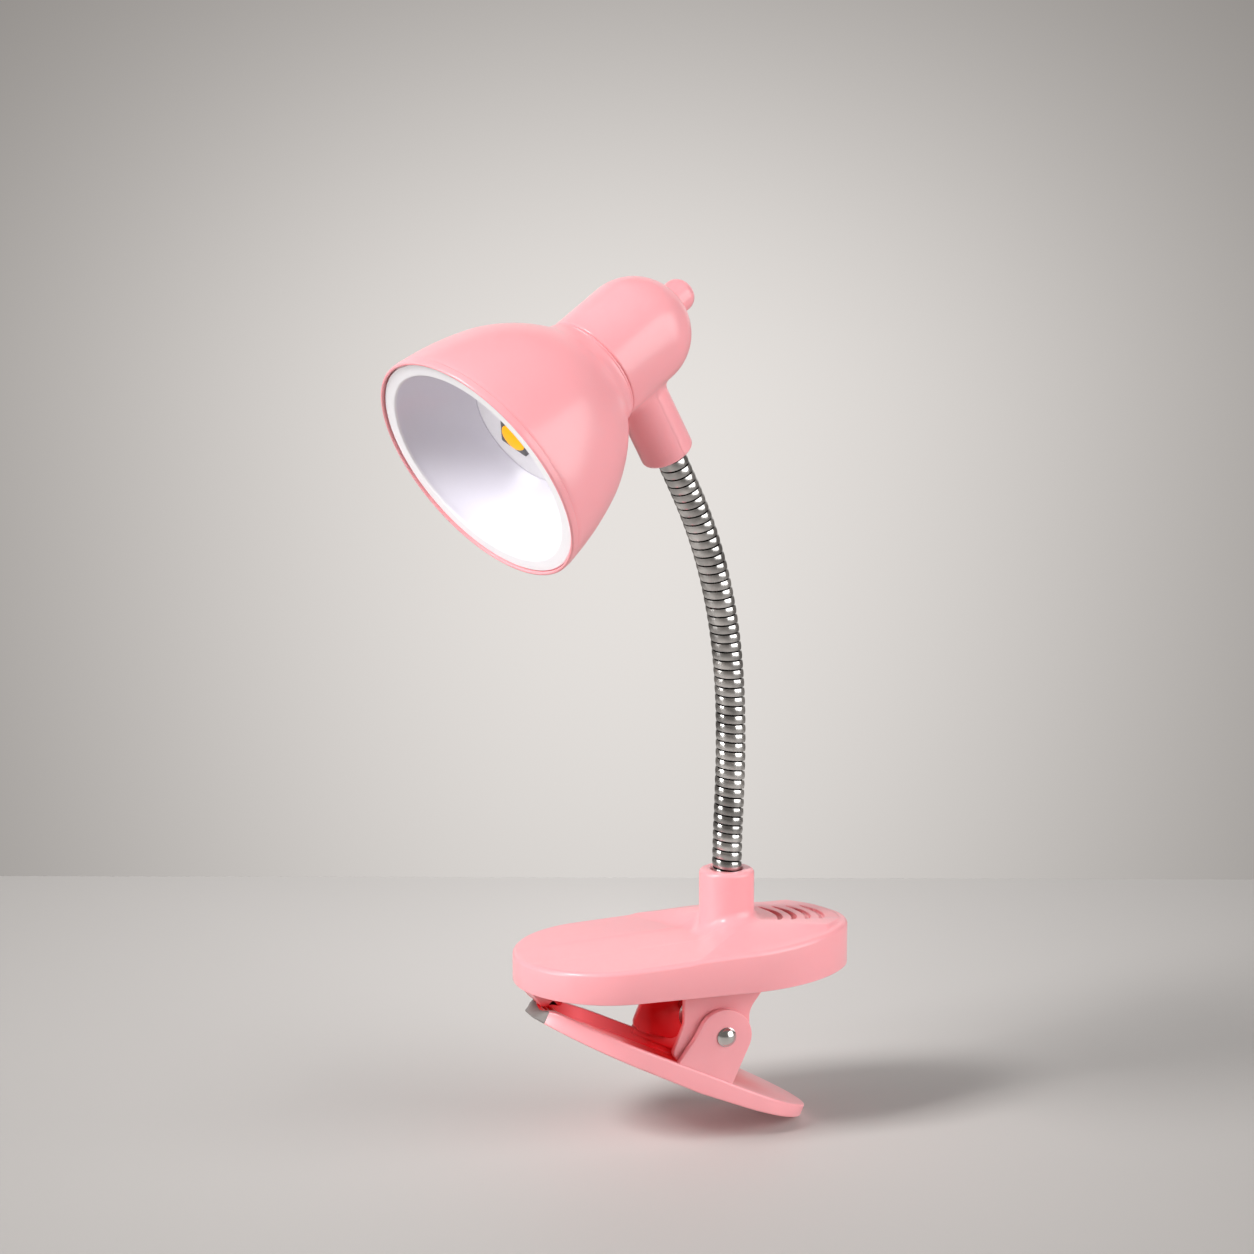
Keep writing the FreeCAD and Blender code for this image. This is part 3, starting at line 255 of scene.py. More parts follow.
CLIP = Matrix.Translation((43.0, 0, 3.5))
DECK_FRONT, DECK_REAR, DECK_HALF, DECK_WALL = 48.0, 27.6, 21.1, 1.8
DECK_NOSES = (22.0, 0.64, 13.5, 0.64)
RIM_FRONT, RIM_REAR, RIM_ROUND = 6.5, 10.2, 1.1
DECK_SLOPE = (RIM_REAR - RIM_FRONT) / (DECK_FRONT + DECK_REAR)
THUMB_RISE, THUMB_FALL = 3.1, math.tan(math.radians(3.2))
GROOVE_FIRST, GROOVE_PITCH, GROOVE_HALF, GROOVE_DEPTH = 9.9, 3.3, 6.0, 0.75
TOWER_HALF, TOWER_TOP, TOWER_FOOT, TOWER_EDGE = 6.0, 22.4, 2.4, 1.0
NECK_HOLE, SEAT_HALF, SEAT_TOP = 3.5, 4.6, 13.0
PIN_BACK, PIN_DOWN = -5.7, -11.0
LIP_HALF, LIP_DOWN = 5.0, -3.3
EAR_OUTER, EAR_WALL = 13.1, 1.7

plastic = Finish("pink_moulding", {
    "Subsurface Weight": 0.12, "Subsurface Radius": (0.004, 0.0012, 0.001),
    "Coat Roughness": 0.15, "Specular IOR Level": 0.4, "Emission Strength": 1.0})
tint = plastic.noise(60.0, 3.0)
pink = plastic.blend(tint, (0.93, 0.372, 0.405), (0.95, 0.395, 0.425))
# The hollow between the levers and the lip under the nose are painted a deep red as shade, standing in for
# light that has passed through the plastic and bounced between the levers, and the open front of the tray
# glows by emission as painted light. Vertices inside the hollow carry the mark "hollow", the grooves
# "groove"; the grooves get the same painted red shade, deeper where they are deeper.
hollow_shade_mask = plastic.node("Attribute", {"attribute_name": "hollow"}, None, "Fac")
groove = plastic.node("Attribute", {"attribute_name": "groove"}, None, "Fac")
along_clip = plastic.along((1, 0, 0))
under_ears = ((along_clip - 0.002) * 45.0).clamp() * ((0.056 - along_clip) * 120.0).clamp()
in_tray = ((along_clip - 0.005) * 120.0).clamp() * ((0.030 - along_clip) * 60.0).clamp()
near_lip = ((0.012 - along_clip) * 150.0).clamp()
painted_red_shade = hollow_shade_mask * ((under_ears + near_lip).clamp() * 0.55 + 0.45)
deep = plastic.blend((painted_red_shade + groove).clamp(), pink, (0.80, 0.012, 0.018))
tray_glow = plastic.blend(hollow_shade_mask * in_tray, (0, 0, 0), (0.36, 0.09, 0.10))
haze = plastic.noise(420.0, 4.0)
coat = (tint * 0.14 + 0.13) * (1.0 - painted_red_shade)
plastic.paint({
    "Base Color": deep, "Emission Color": tray_glow, "Roughness": haze * 0.08 + 0.27, "Coat Weight": coat})
plastic.bump(plastic.noise(900.0, 2.0), 0.00001, 0.5)
PINK = plastic.material


def arc(middle, radius, start, end, steps):
    """Points of an arc, in degrees from start to end."""
    turns = [math.radians(start + (end - start) * i / steps) for i in range(steps + 1)]
    return [(middle[0] + radius * math.cos(t), middle[1] + radius * math.sin(t)) for t in turns]


def soft(corners, steps=6):
    """A path through (x, y) corners, with each (x, y, radius) corner rounded off."""
    path = []
    for i, corner in enumerate(corners):
        here = Vector(corner[:2])
        if len(corner) == 2:
            path.append(tuple(here))
            continue
        before = (Vector(corners[i - 1][:2]) - here).normalized()
        after = (Vector(corners[(i + 1) % len(corners)][:2]) - here).normalized()
        half = before.angle(after) / 2
        reach = corner[2] / math.tan(half)
        middle = here + (before + after).normalized() * corner[2] / math.sin(half)
        first, last = here + before * reach - middle, here + after * reach - middle
        turn = first.angle_signed(last)
        for step in range(steps + 1):
            path.append(tuple(middle + Matrix.Rotation(-turn * step / steps, 2) @ first))
    return path


def oval(front, rear, half, noses, inset=0.0):
    """Half widths of a lever's plan at a place along it: two noses joined by straight sides."""
    half -= inset
    ends = []
    for reach, nose, share in ((front, *noses[:2]), (rear, *noses[2:])):
        reach -= inset
        nose -= inset
        nose_half = share * nose
        drop = math.sqrt(nose * nose - nose_half * nose_half)
        corner = (half - nose_half) / (1 - share)
        shoulder = reach - nose + drop
        side = shoulder - corner * drop / nose
        ends.append((reach, nose, shoulder, corner, side))

    def width(x):
        reach, nose, shoulder, corner, side = ends[0] if x < 0 else ends[1]
        x = abs(x)
        if x >= reach:
            return 0.0
        if x > shoulder:
            return math.sqrt(max(nose * nose - (x - reach + nose) ** 2, 0))
        if x > side:
            return half - corner + math.sqrt(corner * corner - (x - side) ** 2)
        return half

    return width


def ray_reach(width, turn, most=60.0):
    """How far a ray at that turn runs before it leaves a plan."""
    along, aside = math.cos(turn), abs(math.sin(turn))
    low, high = 0.0, most
    for _ in range(40):
        middle = (low + high) / 2
        if width(middle * along) > middle * aside:
            low = middle
        else:
            high = middle
    return low


def skin(bm, rings, closed=False):
    """Draws a skin through rings of points. Each ring is extruded from the one before."""
    order = bm.verts.layers.int.get("order") or bm.verts.layers.int.new("order")
    start = bmesh.ops.create_circle(bm, segments=len(rings[0]), radius=1)["verts"]
    for i, vert in enumerate(start):
        vert[order] = i
        vert.co = rings[0][i]
    edges = [e for e in {e for v in start for e in v.link_edges}]
    rings = rings[1:] + rings[:1] if closed else rings[1:]
    for ring in rings:
        made = bmesh.ops.extrude_edge_only(bm, edges=edges)["geom"]
        verts = {g for g in made if isinstance(g, bmesh.types.BMVert)}
        edges = [g for g in made if isinstance(g, bmesh.types.BMEdge) and set(g.verts) <= verts]
        for vert in verts:
            vert.co = ring[vert[order]]
    return edges


def slab(bm, path, thickness, place, edge=0.25):
    """A flat plate of that outline with rounded edges. The outline lies in the plate's XY plane."""
    plate = bmesh.new()
    verts = [plate.verts.new((x, y, 0)) for x, y in path]
    face = plate.faces.new(verts)
    top = bmesh.ops.extrude_face_region(plate, geom=[face])["geom"]
    lid = [g for g in top if isinstance(g, bmesh.types.BMVert)]
    bmesh.ops.translate(plate, vec=(0, 0, thickness), verts=lid)
    bmesh.ops.recalc_face_normals(plate, faces=plate.faces)
    rim = [e for e in plate.edges if abs(e.verts[0].co.z - e.verts[1].co.z) < 1e-6]
    bmesh.ops.bevel(plate, geom=rim, offset=edge, segments=3, profile=0.5, affect="EDGES", material=-1)
    bmesh.ops.transform(plate, matrix=place, verts=plate.verts)
    merge_in(bm, plate)


def merge_in(bm, other):
    """Adds another mesh to bm and frees it."""
    spare = bpy.data.meshes.new("spare")
    other.to_mesh(spare)
    other.free()
    bm.from_mesh(spare)
    bpy.data.meshes.remove(spare)


def piece(name, bm, material, body=None, nodes=(), place=Matrix(), crease=35):
    """Finishes a mesh that is drawn in millimetres as a piece at its place."""
    bmesh.ops.remove_doubles(bm, verts=bm.verts, dist=1e-4)
    bmesh.ops.recalc_face_normals(bm, faces=bm.faces)
    bmesh.ops.transform(bm, matrix=Matrix.Scale(MM, 4) @ place, verts=bm.verts)
    mesh = bpy.data.meshes.new(name)
    bm.to_mesh(mesh)
    bm.free()
    mesh.shade_smooth()
    mesh.set_sharp_from_angle(angle=math.radians(crease))
    mesh.materials.append(material)
    made = bpy.data.objects.new(name, mesh)
    bpy.context.collection.objects.link(made)
    if body:
        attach(made, body)
    if nodes:
        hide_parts(*nodes)
    return made


def mark(bm, name, amount):
    """Stores amount(x, y, z) on the vertices for a finish to read."""
    layer = bm.verts.layers.float.new(name)
    for vert in bm.verts:
        vert[layer] = amount(*vert.co)


def ease(share, soften):
    """0 to 1 with both corners rounded off."""
    share = min(max(share, -soften), 1 + soften)
    low = (share + soften) ** 2 / (4 * soften) if share < soften else share
    over = 1 - share
    high = 1 - (over + soften) ** 2 / (4 * soften) if over < soften else low
    return high


def deck_height(x, y):
    """Height of the deck: the plane that climbs to the rear, the thumb rest and its grooves."""
    plain = RIM_FRONT + DECK_SLOPE * (x + DECK_FRONT)
    rest = RIM_FRONT + DECK_SLOPE * DECK_FRONT + THUMB_RISE - THUMB_FALL * x
    turn = math.atan2(y, x - REST_MIDDLE)
    far = math.hypot(x - REST_MIDDLE, y)
    foot, top = rest_reach(turn)
    share = ease((foot - far) / (foot - top), 0.25)
    return plain + max(rest - plain, 0) * share - groove_depth(x, y)


def groove_depth(x, y):
    """Depth of the four crescent grooves."""
    depth = 0.0
    for number in range(4):
        bulge = GROOVE_FIRST + GROOVE_PITCH * number + 2.0 * (1 - (y / GROOVE_HALF) ** 2)
        half_width = 0.7 * math.sqrt(max(1 - (y / GROOVE_HALF) ** 2, 0))
        if half_width > 0.02:
            cut = 1 - abs(x - bulge) / (half_width + 0.12)
            depth += GROOVE_DEPTH * ease(min(max(cut * 1.8, 0), 1), 0.2) * min(half_width * 2, 1)
    return depth


REST_MIDDLE = 12.0
REST_SIDE = [(-1.5, -6.6, 1), (1.5, -7.4, 3), (20.5, -12.0, 6), (27.0, -6.0, 5)]
REST_TOP = soft(REST_SIDE + [(x, -y, radius) for x, y, radius in reversed(REST_SIDE)])


def path_reach(path, turn, middle):
    """How far a ray at that turn runs from the middle before it crosses a path."""
    ray = Vector((math.cos(turn), math.sin(turn)))
    best = 0.0
    for a, b in zip(path, path[1:] + path[:1]):
        start, run = Vector(a) - middle, Vector(b) - Vector(a)
        cross = ray.x * run.y - ray.y * run.x
        if abs(cross) < 1e-9:
            continue
        far = (start.x * run.y - start.y * run.x) / cross
        share = (start.x * ray.y - start.y * ray.x) / cross
        if -1e-6 <= share <= 1 + 1e-6:
            best = max(best, far)
    return best


foot_plan = oval(DECK_FRONT, DECK_REAR, DECK_HALF, DECK_NOSES, 1.3)
REST_FOOT = [(-6.0, 0.0), (-13.0, -foot_plan(-13.0))]
REST_FOOT += [(x, -foot_plan(x)) for x in [i * 0.5 - 12.5 for i in range(77)]] + [(26.29, 0)]
REST_FOOT += [(x, -y) for x, y in reversed(REST_FOOT[1:-1])]
TABLE_STEPS = 720
REST_TABLE = [
    (path_reach(REST_FOOT, math.tau * i / TABLE_STEPS, Vector((REST_MIDDLE, 0))),
     path_reach(REST_TOP, math.tau * i / TABLE_STEPS, Vector((REST_MIDDLE, 0))))
    for i in range(TABLE_STEPS)
]


def rest_reach(turn):
    """The thumb rest's foot and top edge on a ray from its middle."""
    place = (turn / math.tau % 1.0) * TABLE_STEPS
    low = int(place)
    share = place - low
    before, after = REST_TABLE[low % TABLE_STEPS], REST_TABLE[(low + 1) % TABLE_STEPS]
    foot, top = (a + (b - a) * share for a, b in zip(before, after))
    return foot, min(top, foot - 0.8)


AROUND = 288
turns = [math.tau * i / AROUND for i in range(AROUND)]


def ring(reach, height):
    """Points at reach(turn) from the tower's axis, at height(x, y)."""
    points = []
    for i, turn in enumerate(turns):
        far = reach[i] if isinstance(reach, list) else reach
        x, y = far * math.cos(turn), far * math.sin(turn)
        points.append((x, y, height(x, y) if callable(height) else height))
    return points


def plan_reach(inset):
    width = oval(DECK_FRONT, DECK_REAR, DECK_HALF, DECK_NOSES, inset)
    return [ray_reach(width, turn) for turn in turns]


def deck_plane(drop):
    return lambda x, y: RIM_FRONT + DECK_SLOPE * (x + DECK_FRONT) - drop


DECK_RINGS, ROUND_STEPS = 110, 6
rings = [ring(NECK_HOLE, SEAT_TOP), ring(NECK_HOLE, TOWER_TOP - 0.4)]
rings += [ring(r, z) for r, z in arc((NECK_HOLE + 0.4, TOWER_TOP - 0.4), 0.4, 180, 90, 3)[1:]]
tower_edge_middle = (TOWER_HALF - TOWER_EDGE, TOWER_TOP - TOWER_EDGE)
rings += [ring(r, z) for r, z in arc(tower_edge_middle, TOWER_EDGE, 90, 0, ROUND_STEPS)]
foot_ring = ring(TOWER_HALF + TOWER_FOOT, deck_height)
for step in range(ROUND_STEPS + 1):
    lean = math.pi / 2 * step / ROUND_STEPS
    out = TOWER_HALF + TOWER_FOOT * (1 - math.cos(lean))
    up = TOWER_FOOT * (1 - math.sin(lean))
    rings.append([(out * math.cos(t), out * math.sin(t), p[2] + up) for t, p in zip(turns, foot_ring)])
rim_inner = plan_reach(RIM_ROUND)
for step in range(1, DECK_RINGS + 1):
    share = step / DECK_RINGS
    start = TOWER_HALF + TOWER_FOOT
    rings.append(ring([start + (edge - start) * share for edge in rim_inner], deck_height))
rim_heights = [p[2] for p in rings[-1]]
for step in range(1, ROUND_STEPS + 1):
    lean = math.pi / 2 * step / ROUND_STEPS
    outline = ring(plan_reach(RIM_ROUND * (1 - math.sin(lean))), 0)
    drop = RIM_ROUND * (1 - math.cos(lean))
    rings.append([(x, y, top - drop) for (x, y, _), top in zip(outline, rim_heights)])
BOTTOM_ROUND = 0.35
outer, inner = plan_reach(0), plan_reach(DECK_WALL)
rings.append(ring(outer, BOTTOM_ROUND))
rings.append(ring(plan_reach(BOTTOM_ROUND * 0.3), BOTTOM_ROUND * 0.3))
rings.append(ring(plan_reach(BOTTOM_ROUND), 0))
rings.append(ring(plan_reach(DECK_WALL - BOTTOM_ROUND), 0))
rings.append(ring(inner, BOTTOM_ROUND))
rings.append(ring(inner, deck_plane(DECK_WALL + 0.6)))
rings.append(ring(plan_reach(DECK_WALL + 0.6), deck_plane(DECK_WALL)))
rings.append(ring(SEAT_HALF, deck_plane(DECK_WALL)))
rings.append(ring(SEAT_HALF, SEAT_TOP))

bm = bmesh.new()
skin(bm, rings, closed=True)
UPRIGHT = Matrix.Rotation(math.pi / 2, 4, "X")
roof = RIM_FRONT + DECK_SLOPE * DECK_FRONT - DECK_WALL
ear_path = soft([
    (PIN_BACK - 8.9, roof - 0.8), (PIN_BACK - 8.9, PIN_DOWN + 3.0, 3),
    (PIN_BACK - 11.6, PIN_DOWN - 3.4, 1.5), (PIN_BACK - 10.2, PIN_DOWN - 5.2, 1),
    (PIN_BACK - 2.6, PIN_DOWN - 7.8, 2), (PIN_BACK + 6.2, PIN_DOWN - 4.4, 5),
    (PIN_BACK + 6.1, PIN_DOWN + 5.0, 5), (PIN_BACK + 9.6, PIN_DOWN + 9.6, 4), (PIN_BACK + 9.6, roof - 0.2),
])
for side in (-EAR_OUTER, EAR_OUTER - EAR_WALL):
    slab(bm, ear_path, EAR_WALL, Matrix.Translation((0, side + EAR_WALL, 0)) @ UPRIGHT)
lip_path = soft([
    (-46.2, RIM_FRONT - 2.4), (-46.2, LIP_DOWN + 2.6, 1), (-44.2, LIP_DOWN, 0.4), (-42.5, LIP_DOWN, 0.3),
    (-41.7, LIP_DOWN + 0.8, 0.2), (-40.9, LIP_DOWN - 0.2, 0.2), (-39.8, LIP_DOWN - 0.2, 0.4),
    (-38.4, LIP_DOWN + 2.4, 0.8), (-38.4, RIM_FRONT - 2.4),
])
slab(bm, lip_path, LIP_HALF * 2, Matrix.Translation((0, LIP_HALF, 0)) @ UPRIGHT, 0.3)
inner_plan = oval(DECK_FRONT, DECK_REAR, DECK_HALF, DECK_NOSES, DECK_WALL - 0.1)
below_roof = deck_plane(DECK_WALL - 0.1)
# The hollow under the deck is marked for the pink finish's painted red shade.
mark(bm, "hollow", lambda x, y, z: z < below_roof(x, y) and abs(y) < min(inner_plan(x), EAR_OUTER - 0.3))


def groove_mark(x, y, z):
    """How much painted red shade a vertex of the thumb rest gets: the depth of the groove that it lies in."""
    on_rest = z > RIM_REAR and x > TOWER_HALF
    return groove_depth(x, y) / GROOVE_DEPTH * 0.7 if on_rest else 0.0


mark(bm, "groove", groove_mark)
piece("upper_lever_moulding", bm, PINK, "clip", ["upper_lever"], CLIP)

# ---- Lower lever and its tip shoe ----------------------------------------------------------------
# A second pink moulding, a long shallow tray that closes into a solid thumb lever, with two ears
# outside the upper lever's. The grey shoe is moulded rubber, pushed over its nose.

jaw = next(j for j in frame["joints"] if j["name"] == "jaw_open")
LEVER_SLOPE = math.radians(25)
LEVER = Matrix.Translation(Vector(jaw["pos_m"]) / MM) @ Matrix.Rotation(LEVER_SLOPE, 4, "Y")
LEVER_FRONT, LEVER_REAR, LEVER_HALF = 39.02, 30.5, 15.4
LEVER_NOSES = (4.5, 0.5, 10.5, 0.62)
LEVER_TOP, LEVER_FLOOR, LEVER_THIN, LEVER_WALL = -9.02, -13.42, 1.5, 1.6
NOSE_RAKE, NOSE_DROP, NOSE_LONG, NOSE_LIFT = 2.8, 2.5, 5.5, 0.9
SHOE_LONG, TRAY_REAR = 2.8, 4.5
LEVER_EDGE = 0.45


def lever_under(x):
    """Height of the lever's underside, which rises towards both ends."""
    return LEVER_FLOOR + LEVER_THIN * max(x, 0) / LEVER_REAR + NOSE_LIFT * max(-x, 0) / LEVER_FRONT


def lever_top(x):
    """Height of the lever's rim, which falls towards the nose."""
    return LEVER_TOP - NOSE_DROP * (max(NOSE_LONG - LEVER_FRONT - x, 0) / NOSE_LONG) ** 2


def lever_ring(inset, height, stop=None):
    """A ring of the lever's plan, set in, at a height or at height(x). The nose is cut on a slope."""
    width = oval(LEVER_FRONT, LEVER_REAR, LEVER_HALF, LEVER_NOSES, inset)
    points = []
    for turn in turns:
        reach = ray_reach(width, turn)
        if stop is not None and math.cos(turn) > 0:
            reach = min(reach, stop / math.cos(turn))
        x, y = reach * math.cos(turn), reach * math.sin(turn)
        z = height(x) if callable(height) else height
        share = (z - LEVER_FLOOR) / (LEVER_TOP - LEVER_FLOOR)
        slope = -LEVER_FRONT + NOSE_RAKE * share
        points.append((max(x, slope + inset), y, z))
    return points


def spine(ring):
    """A ring that is pressed flat on to its middle line."""
    return [(x, 0, z) for x, y, z in ring]


def lever_skin():
    tray_floor = LEVER_FLOOR + LEVER_WALL
    bottom = lever_ring(3.0, lever_under)
    rings = [spine(bottom), bottom]
    for step in range(5):
        lean = math.pi / 2 * step / 4
        inset, up = LEVER_EDGE * (1 - math.sin(lean)), LEVER_EDGE * (1 - math.cos(lean))
        rings.append(lever_ring(inset, lambda x, up=up: lever_under(x) + up))
    for step in range(5):
        lean = math.pi / 2 * step / 4
        inset, down = LEVER_EDGE * (1 - math.cos(lean)), LEVER_EDGE * (1 - math.sin(lean))
        rings.append(lever_ring(inset, lambda x, down=down: lever_top(x) - down))
    rings.append(lever_ring(LEVER_WALL - 0.2, lever_top, TRAY_REAR + 0.2))
    rings.append(lever_ring(LEVER_WALL, lambda x: lever_top(x) - 0.2, TRAY_REAR))
    rings.append(lever_ring(LEVER_WALL, tray_floor + 0.4, TRAY_REAR))
    rings.append(lever_ring(LEVER_WALL + 0.4, tray_floor, TRAY_REAR - 0.4))
    rings.append(spine(rings[-1]))
    made = bmesh.new()
    skin(made, rings)
    bmesh.ops.remove_doubles(made, verts=made.verts, dist=1e-4)
    return made


def cut(bm, where, keep):
    """Cuts a solid across its length and closes it. keep is 1 for the rear part, -1 for the front."""
    bmesh.ops.bisect_plane(bm, geom=[*bm.verts, *bm.edges, *bm.faces], plane_co=(where, 0, 0),
                           plane_no=(keep, 0, 0), clear_inner=True)
    bmesh.ops.holes_fill(bm, edges=[e for e in bm.edges if e.is_boundary])


SHOE_BACK = SHOE_LONG - LEVER_FRONT
bm = lever_skin()
cut(bm, SHOE_BACK, 1)
tray_plan = oval(LEVER_FRONT, LEVER_REAR, LEVER_HALF, LEVER_NOSES, LEVER_WALL - 0.1)
for number, height in enumerate((1.6, 1.4, 1.4)):
    x = SHOE_BACK + 0.3 + 2.6 * number
    half = tray_plan(x)
    rib = [(x, -half), (x + 1, -half), (x + 1, half), (x, half)]
    slab(bm, rib, height, Matrix.Translation((0, 0, LEVER_FLOOR + LEVER_WALL - 0.1)), 0.2)
pad_path = soft([(-29, -4.5, 1), (-12, -6, 2), (-12, 6, 2), (-29, 4.5, 1)])
slab(bm, pad_path, 1.0, Matrix.Translation((0, 0, LEVER_FLOOR + 1.5)), 0.3)
slab(bm, arc((-24.5, 0), 1.7, 0, 354, 59), 1.8, Matrix.Translation((0, 0, LEVER_FLOOR + 1.4)), 0.3)
EAR_ROUND = 5.9
outer_ear = soft([
    (EAR_ROUND, LEVER_TOP - 1.5), (EAR_ROUND, EAR_ROUND, EAR_ROUND - 0.01),
    (-EAR_ROUND, EAR_ROUND, EAR_ROUND - 0.01),
    (-EAR_ROUND - 0.6, -2.5, 8), (-EAR_ROUND - 1.9, LEVER_TOP + 0.2), (-EAR_ROUND - 1.9, LEVER_TOP - 1.5),
], 14)
OUTER_EAR = LEVER_HALF - 0.3
for side in (-OUTER_EAR, OUTER_EAR - EAR_WALL):
    slab(bm, outer_ear, EAR_WALL, Matrix.Translation((0, side + EAR_WALL, 0)) @ UPRIGHT)
# The tray's hollow is marked for the pink finish's painted red shade and its painted glow.
mark(bm, "hollow", lambda x, y, z: LEVER_FLOOR + 1.3 < z < LEVER_TOP + 0.1 and abs(y) < tray_plan(x))
piece("lower_lever_moulding", bm, PINK, "jaw", ["lower_lever"], LEVER)

rubber = Finish("tip_rubber", {"Specular IOR Level": 0.4})
grain = rubber.noise(300.0, 4.0)
grey = rubber.blend(grain, (0.16, 0.148, 0.14), (0.21, 0.19, 0.18))
towards_pink = ((rubber.along((1, 0, 0)) - 0.0034) * 600.0).clamp()
shoe_tone = rubber.blend(towards_pink, grey, (0.50, 0.22, 0.21))
rubber.paint({"Base Color": shoe_tone, "Roughness": grain * 0.2 + 0.35})
rubber.bump(rubber.noise(2500.0), 0.00002)
bm = lever_skin()
cut(bm, SHOE_BACK, -1)
piece("tip_shoe", bm, rubber.material, "jaw", ["jaw_tip_shoe"], LEVER)

# ---- Hinge pin and spring ------------------------------------------------------------------------
# A steel rivet with domed, polished heads holds the four ears. The torsion spring is coiled round it
# from hard drawn wire, and its two legs push the thumb levers apart.


def turned(bm, profile, steps):
    """Turns a profile of (radius, height) points into a closed skin round Z."""
    verts = [bm.verts.new((r, 0, z)) for r, z in profile]
    edges = [bm.edges.new(pair) for pair in zip(verts, verts[1:])]
    if profile[0][0] > 1e-6 or profile[-1][0] > 1e-6:
        edges.append(bm.edges.new((verts[-1], verts[0])))
    bmesh.ops.spin(bm, geom=[*verts, *edges], cent=(0, 0, 0), axis=(0, 0, 1), angle=math.tau,
                   steps=steps, use_merge=True)
    bmesh.ops.remove_doubles(bm, verts=bm.verts, dist=1e-4)


chrome = Finish("polished_chrome", {"Metallic": 1.0})
smear = chrome.noise(250.0, 3.0)
chrome_tone = chrome.blend(smear, (0.55, 0.54, 0.52), (0.70, 0.69, 0.67))
chrome.paint({"Base Color": chrome_tone, "Roughness": smear * 0.12 + 0.1})

PIN_HALF, HEAD_HALF, HEAD_DOME = 1.25, 2.15, 1.2
head_seat = OUTER_EAR + 0.05
dome = (HEAD_HALF ** 2 + HEAD_DOME ** 2) / (2 * HEAD_DOME)
sweep = math.degrees(math.asin((HEAD_HALF - 0.2) / dome))
cap = arc((0, head_seat + HEAD_DOME - dome), dome, 90, 90 - sweep, 10)
cap += [(HEAD_HALF, head_seat + 0.15), (HEAD_HALF - 0.1, head_seat), (PIN_HALF, head_seat)]
bm = bmesh.new()
turned(bm, cap + [(r, -z) for r, z in reversed(cap)], 64)
PIN = Matrix.Translation(Vector(jaw["pos_m"]) / MM)
piece("hinge_rivet", bm, chrome.material, "clip", ["hinge_pin"], PIN @ UPRIGHT)

WIRE_HALF, COIL_HALF, COIL_PITCH, COIL_TURNS = 0.6, 3.3, 1.5, 5
LEG_ROOF, LEG_DECK, WIRE_LIFT = 11.0, 15.0, 0.7


def wire(bm, path, radius, sides=16):
    """A round wire along a path, with softened ends."""
    path = [Vector(p) for p in path]
    forward = (path[1] - path[0]).normalized()
    aside = forward.orthogonal().normalized()
    rings = []
    for i, here in enumerate(path):
        ahead = (path[min(i + 1, len(path) - 1)] - path[max(i - 1, 0)]).normalized()
        aside = (forward.rotation_difference(ahead).to_matrix() @ aside).normalized()
        forward = ahead
        spokes = [Matrix.Rotation(math.tau * k / sides, 3, forward) @ aside for k in range(sides)]
        rings.append([here + spoke * radius for spoke in spokes])
        if i == 0:
            rings.insert(0, [here - forward * 0.3 * radius + spoke * radius * 0.7 for spoke in spokes])
        if i == len(path) - 1:
            rings.append([here + forward * 0.3 * radius + spoke * radius * 0.7 for spoke in spokes])
    skin(bm, rings)
    bmesh.ops.holes_fill(bm, edges=[e for e in bm.edges if e.is_boundary])


def coil_path(first, last, half, first_height, last_height, steps):
    """Points of a coil round Z whose angle and height change evenly from end to end."""
    points = []
    for i in range(steps + 1):
        share = i / steps
        turn = first + (last - first) * share
        height = first_height + (last_height - first_height) * share
        points.append((half * math.cos(turn), half * math.sin(turn), height))
    return points


spring_steel = Finish("spring_wire", {"Metallic": 1.0})
drawn = spring_steel.noise(600.0, 4.0)
wire_tone = spring_steel.blend(drawn, (0.42, 0.41, 0.40), (0.58, 0.57, 0.56))
spring_steel.paint({"Base Color": wire_tone, "Roughness": drawn * 0.2 + 0.22})
on_lever = WIRE_LIFT + LEVER_TOP
lower_tip = (LEG_DECK * math.cos(LEVER_SLOPE) + on_lever * math.sin(LEVER_SLOPE),
             on_lever * math.cos(LEVER_SLOPE) - LEG_DECK * math.sin(LEVER_SLOPE))
upper_tip = (LEG_ROOF, roof + DECK_SLOPE * (LEG_ROOF + PIN_BACK) - PIN_DOWN - WIRE_LIFT - 0.3)
first_turn = math.atan2(lower_tip[1], lower_tip[0]) - math.acos(COIL_HALF / math.hypot(*lower_tip))
last_turn = math.atan2(upper_tip[1], upper_tip[0]) + math.acos(COIL_HALF / math.hypot(*upper_tip))
half_wide = COIL_PITCH * COIL_TURNS / 2
last_turn -= math.tau * COIL_TURNS
coil = coil_path(first_turn, last_turn, COIL_HALF, -half_wide, half_wide, 180)
bm = bmesh.new()
wire(bm, [(*lower_tip, -half_wide), *coil, (*upper_tip, half_wide)], WIRE_HALF)
spring = piece("jaw_spring", bm, spring_steel.material, None, ["torsion_spring"],
               PIN @ UPRIGHT, crease=60)
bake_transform(spring)

# ---- Neck ----------------------------------------------------------------------------------------
# A gooseneck: polished steel strip wound in a tight screw over an inner spring. It is drawn straight
# and then bent along its rest curve, in eight lengths.

# The steel's tone carries painted reflections: large dark and light grey blotches stand in for the room
# reflected in the windings, and the gaps between windings are painted near black as shade.
steel = Finish("wound_steel", {"Metallic": 1.0})
wipe = steel.noise(700.0, 3.0)
painted_reflection_blotch = steel.noise(160.0, 2.0)
steel_tone = steel.blend(((painted_reflection_blotch - 0.5) * 4.0 + 0.5).clamp(), (0.38, 0.37, 0.36), (0.78, 0.76, 0.74))
painted_gap_shade = steel.node("Attribute", {"attribute_name": "gap"}, None, "Fac")
wound_tone = steel.blend(painted_gap_shade, steel_tone, (0.03, 0.03, 0.03))
steel.paint({"Base Color": wound_tone, "Roughness": wipe * 0.2 + 0.1})

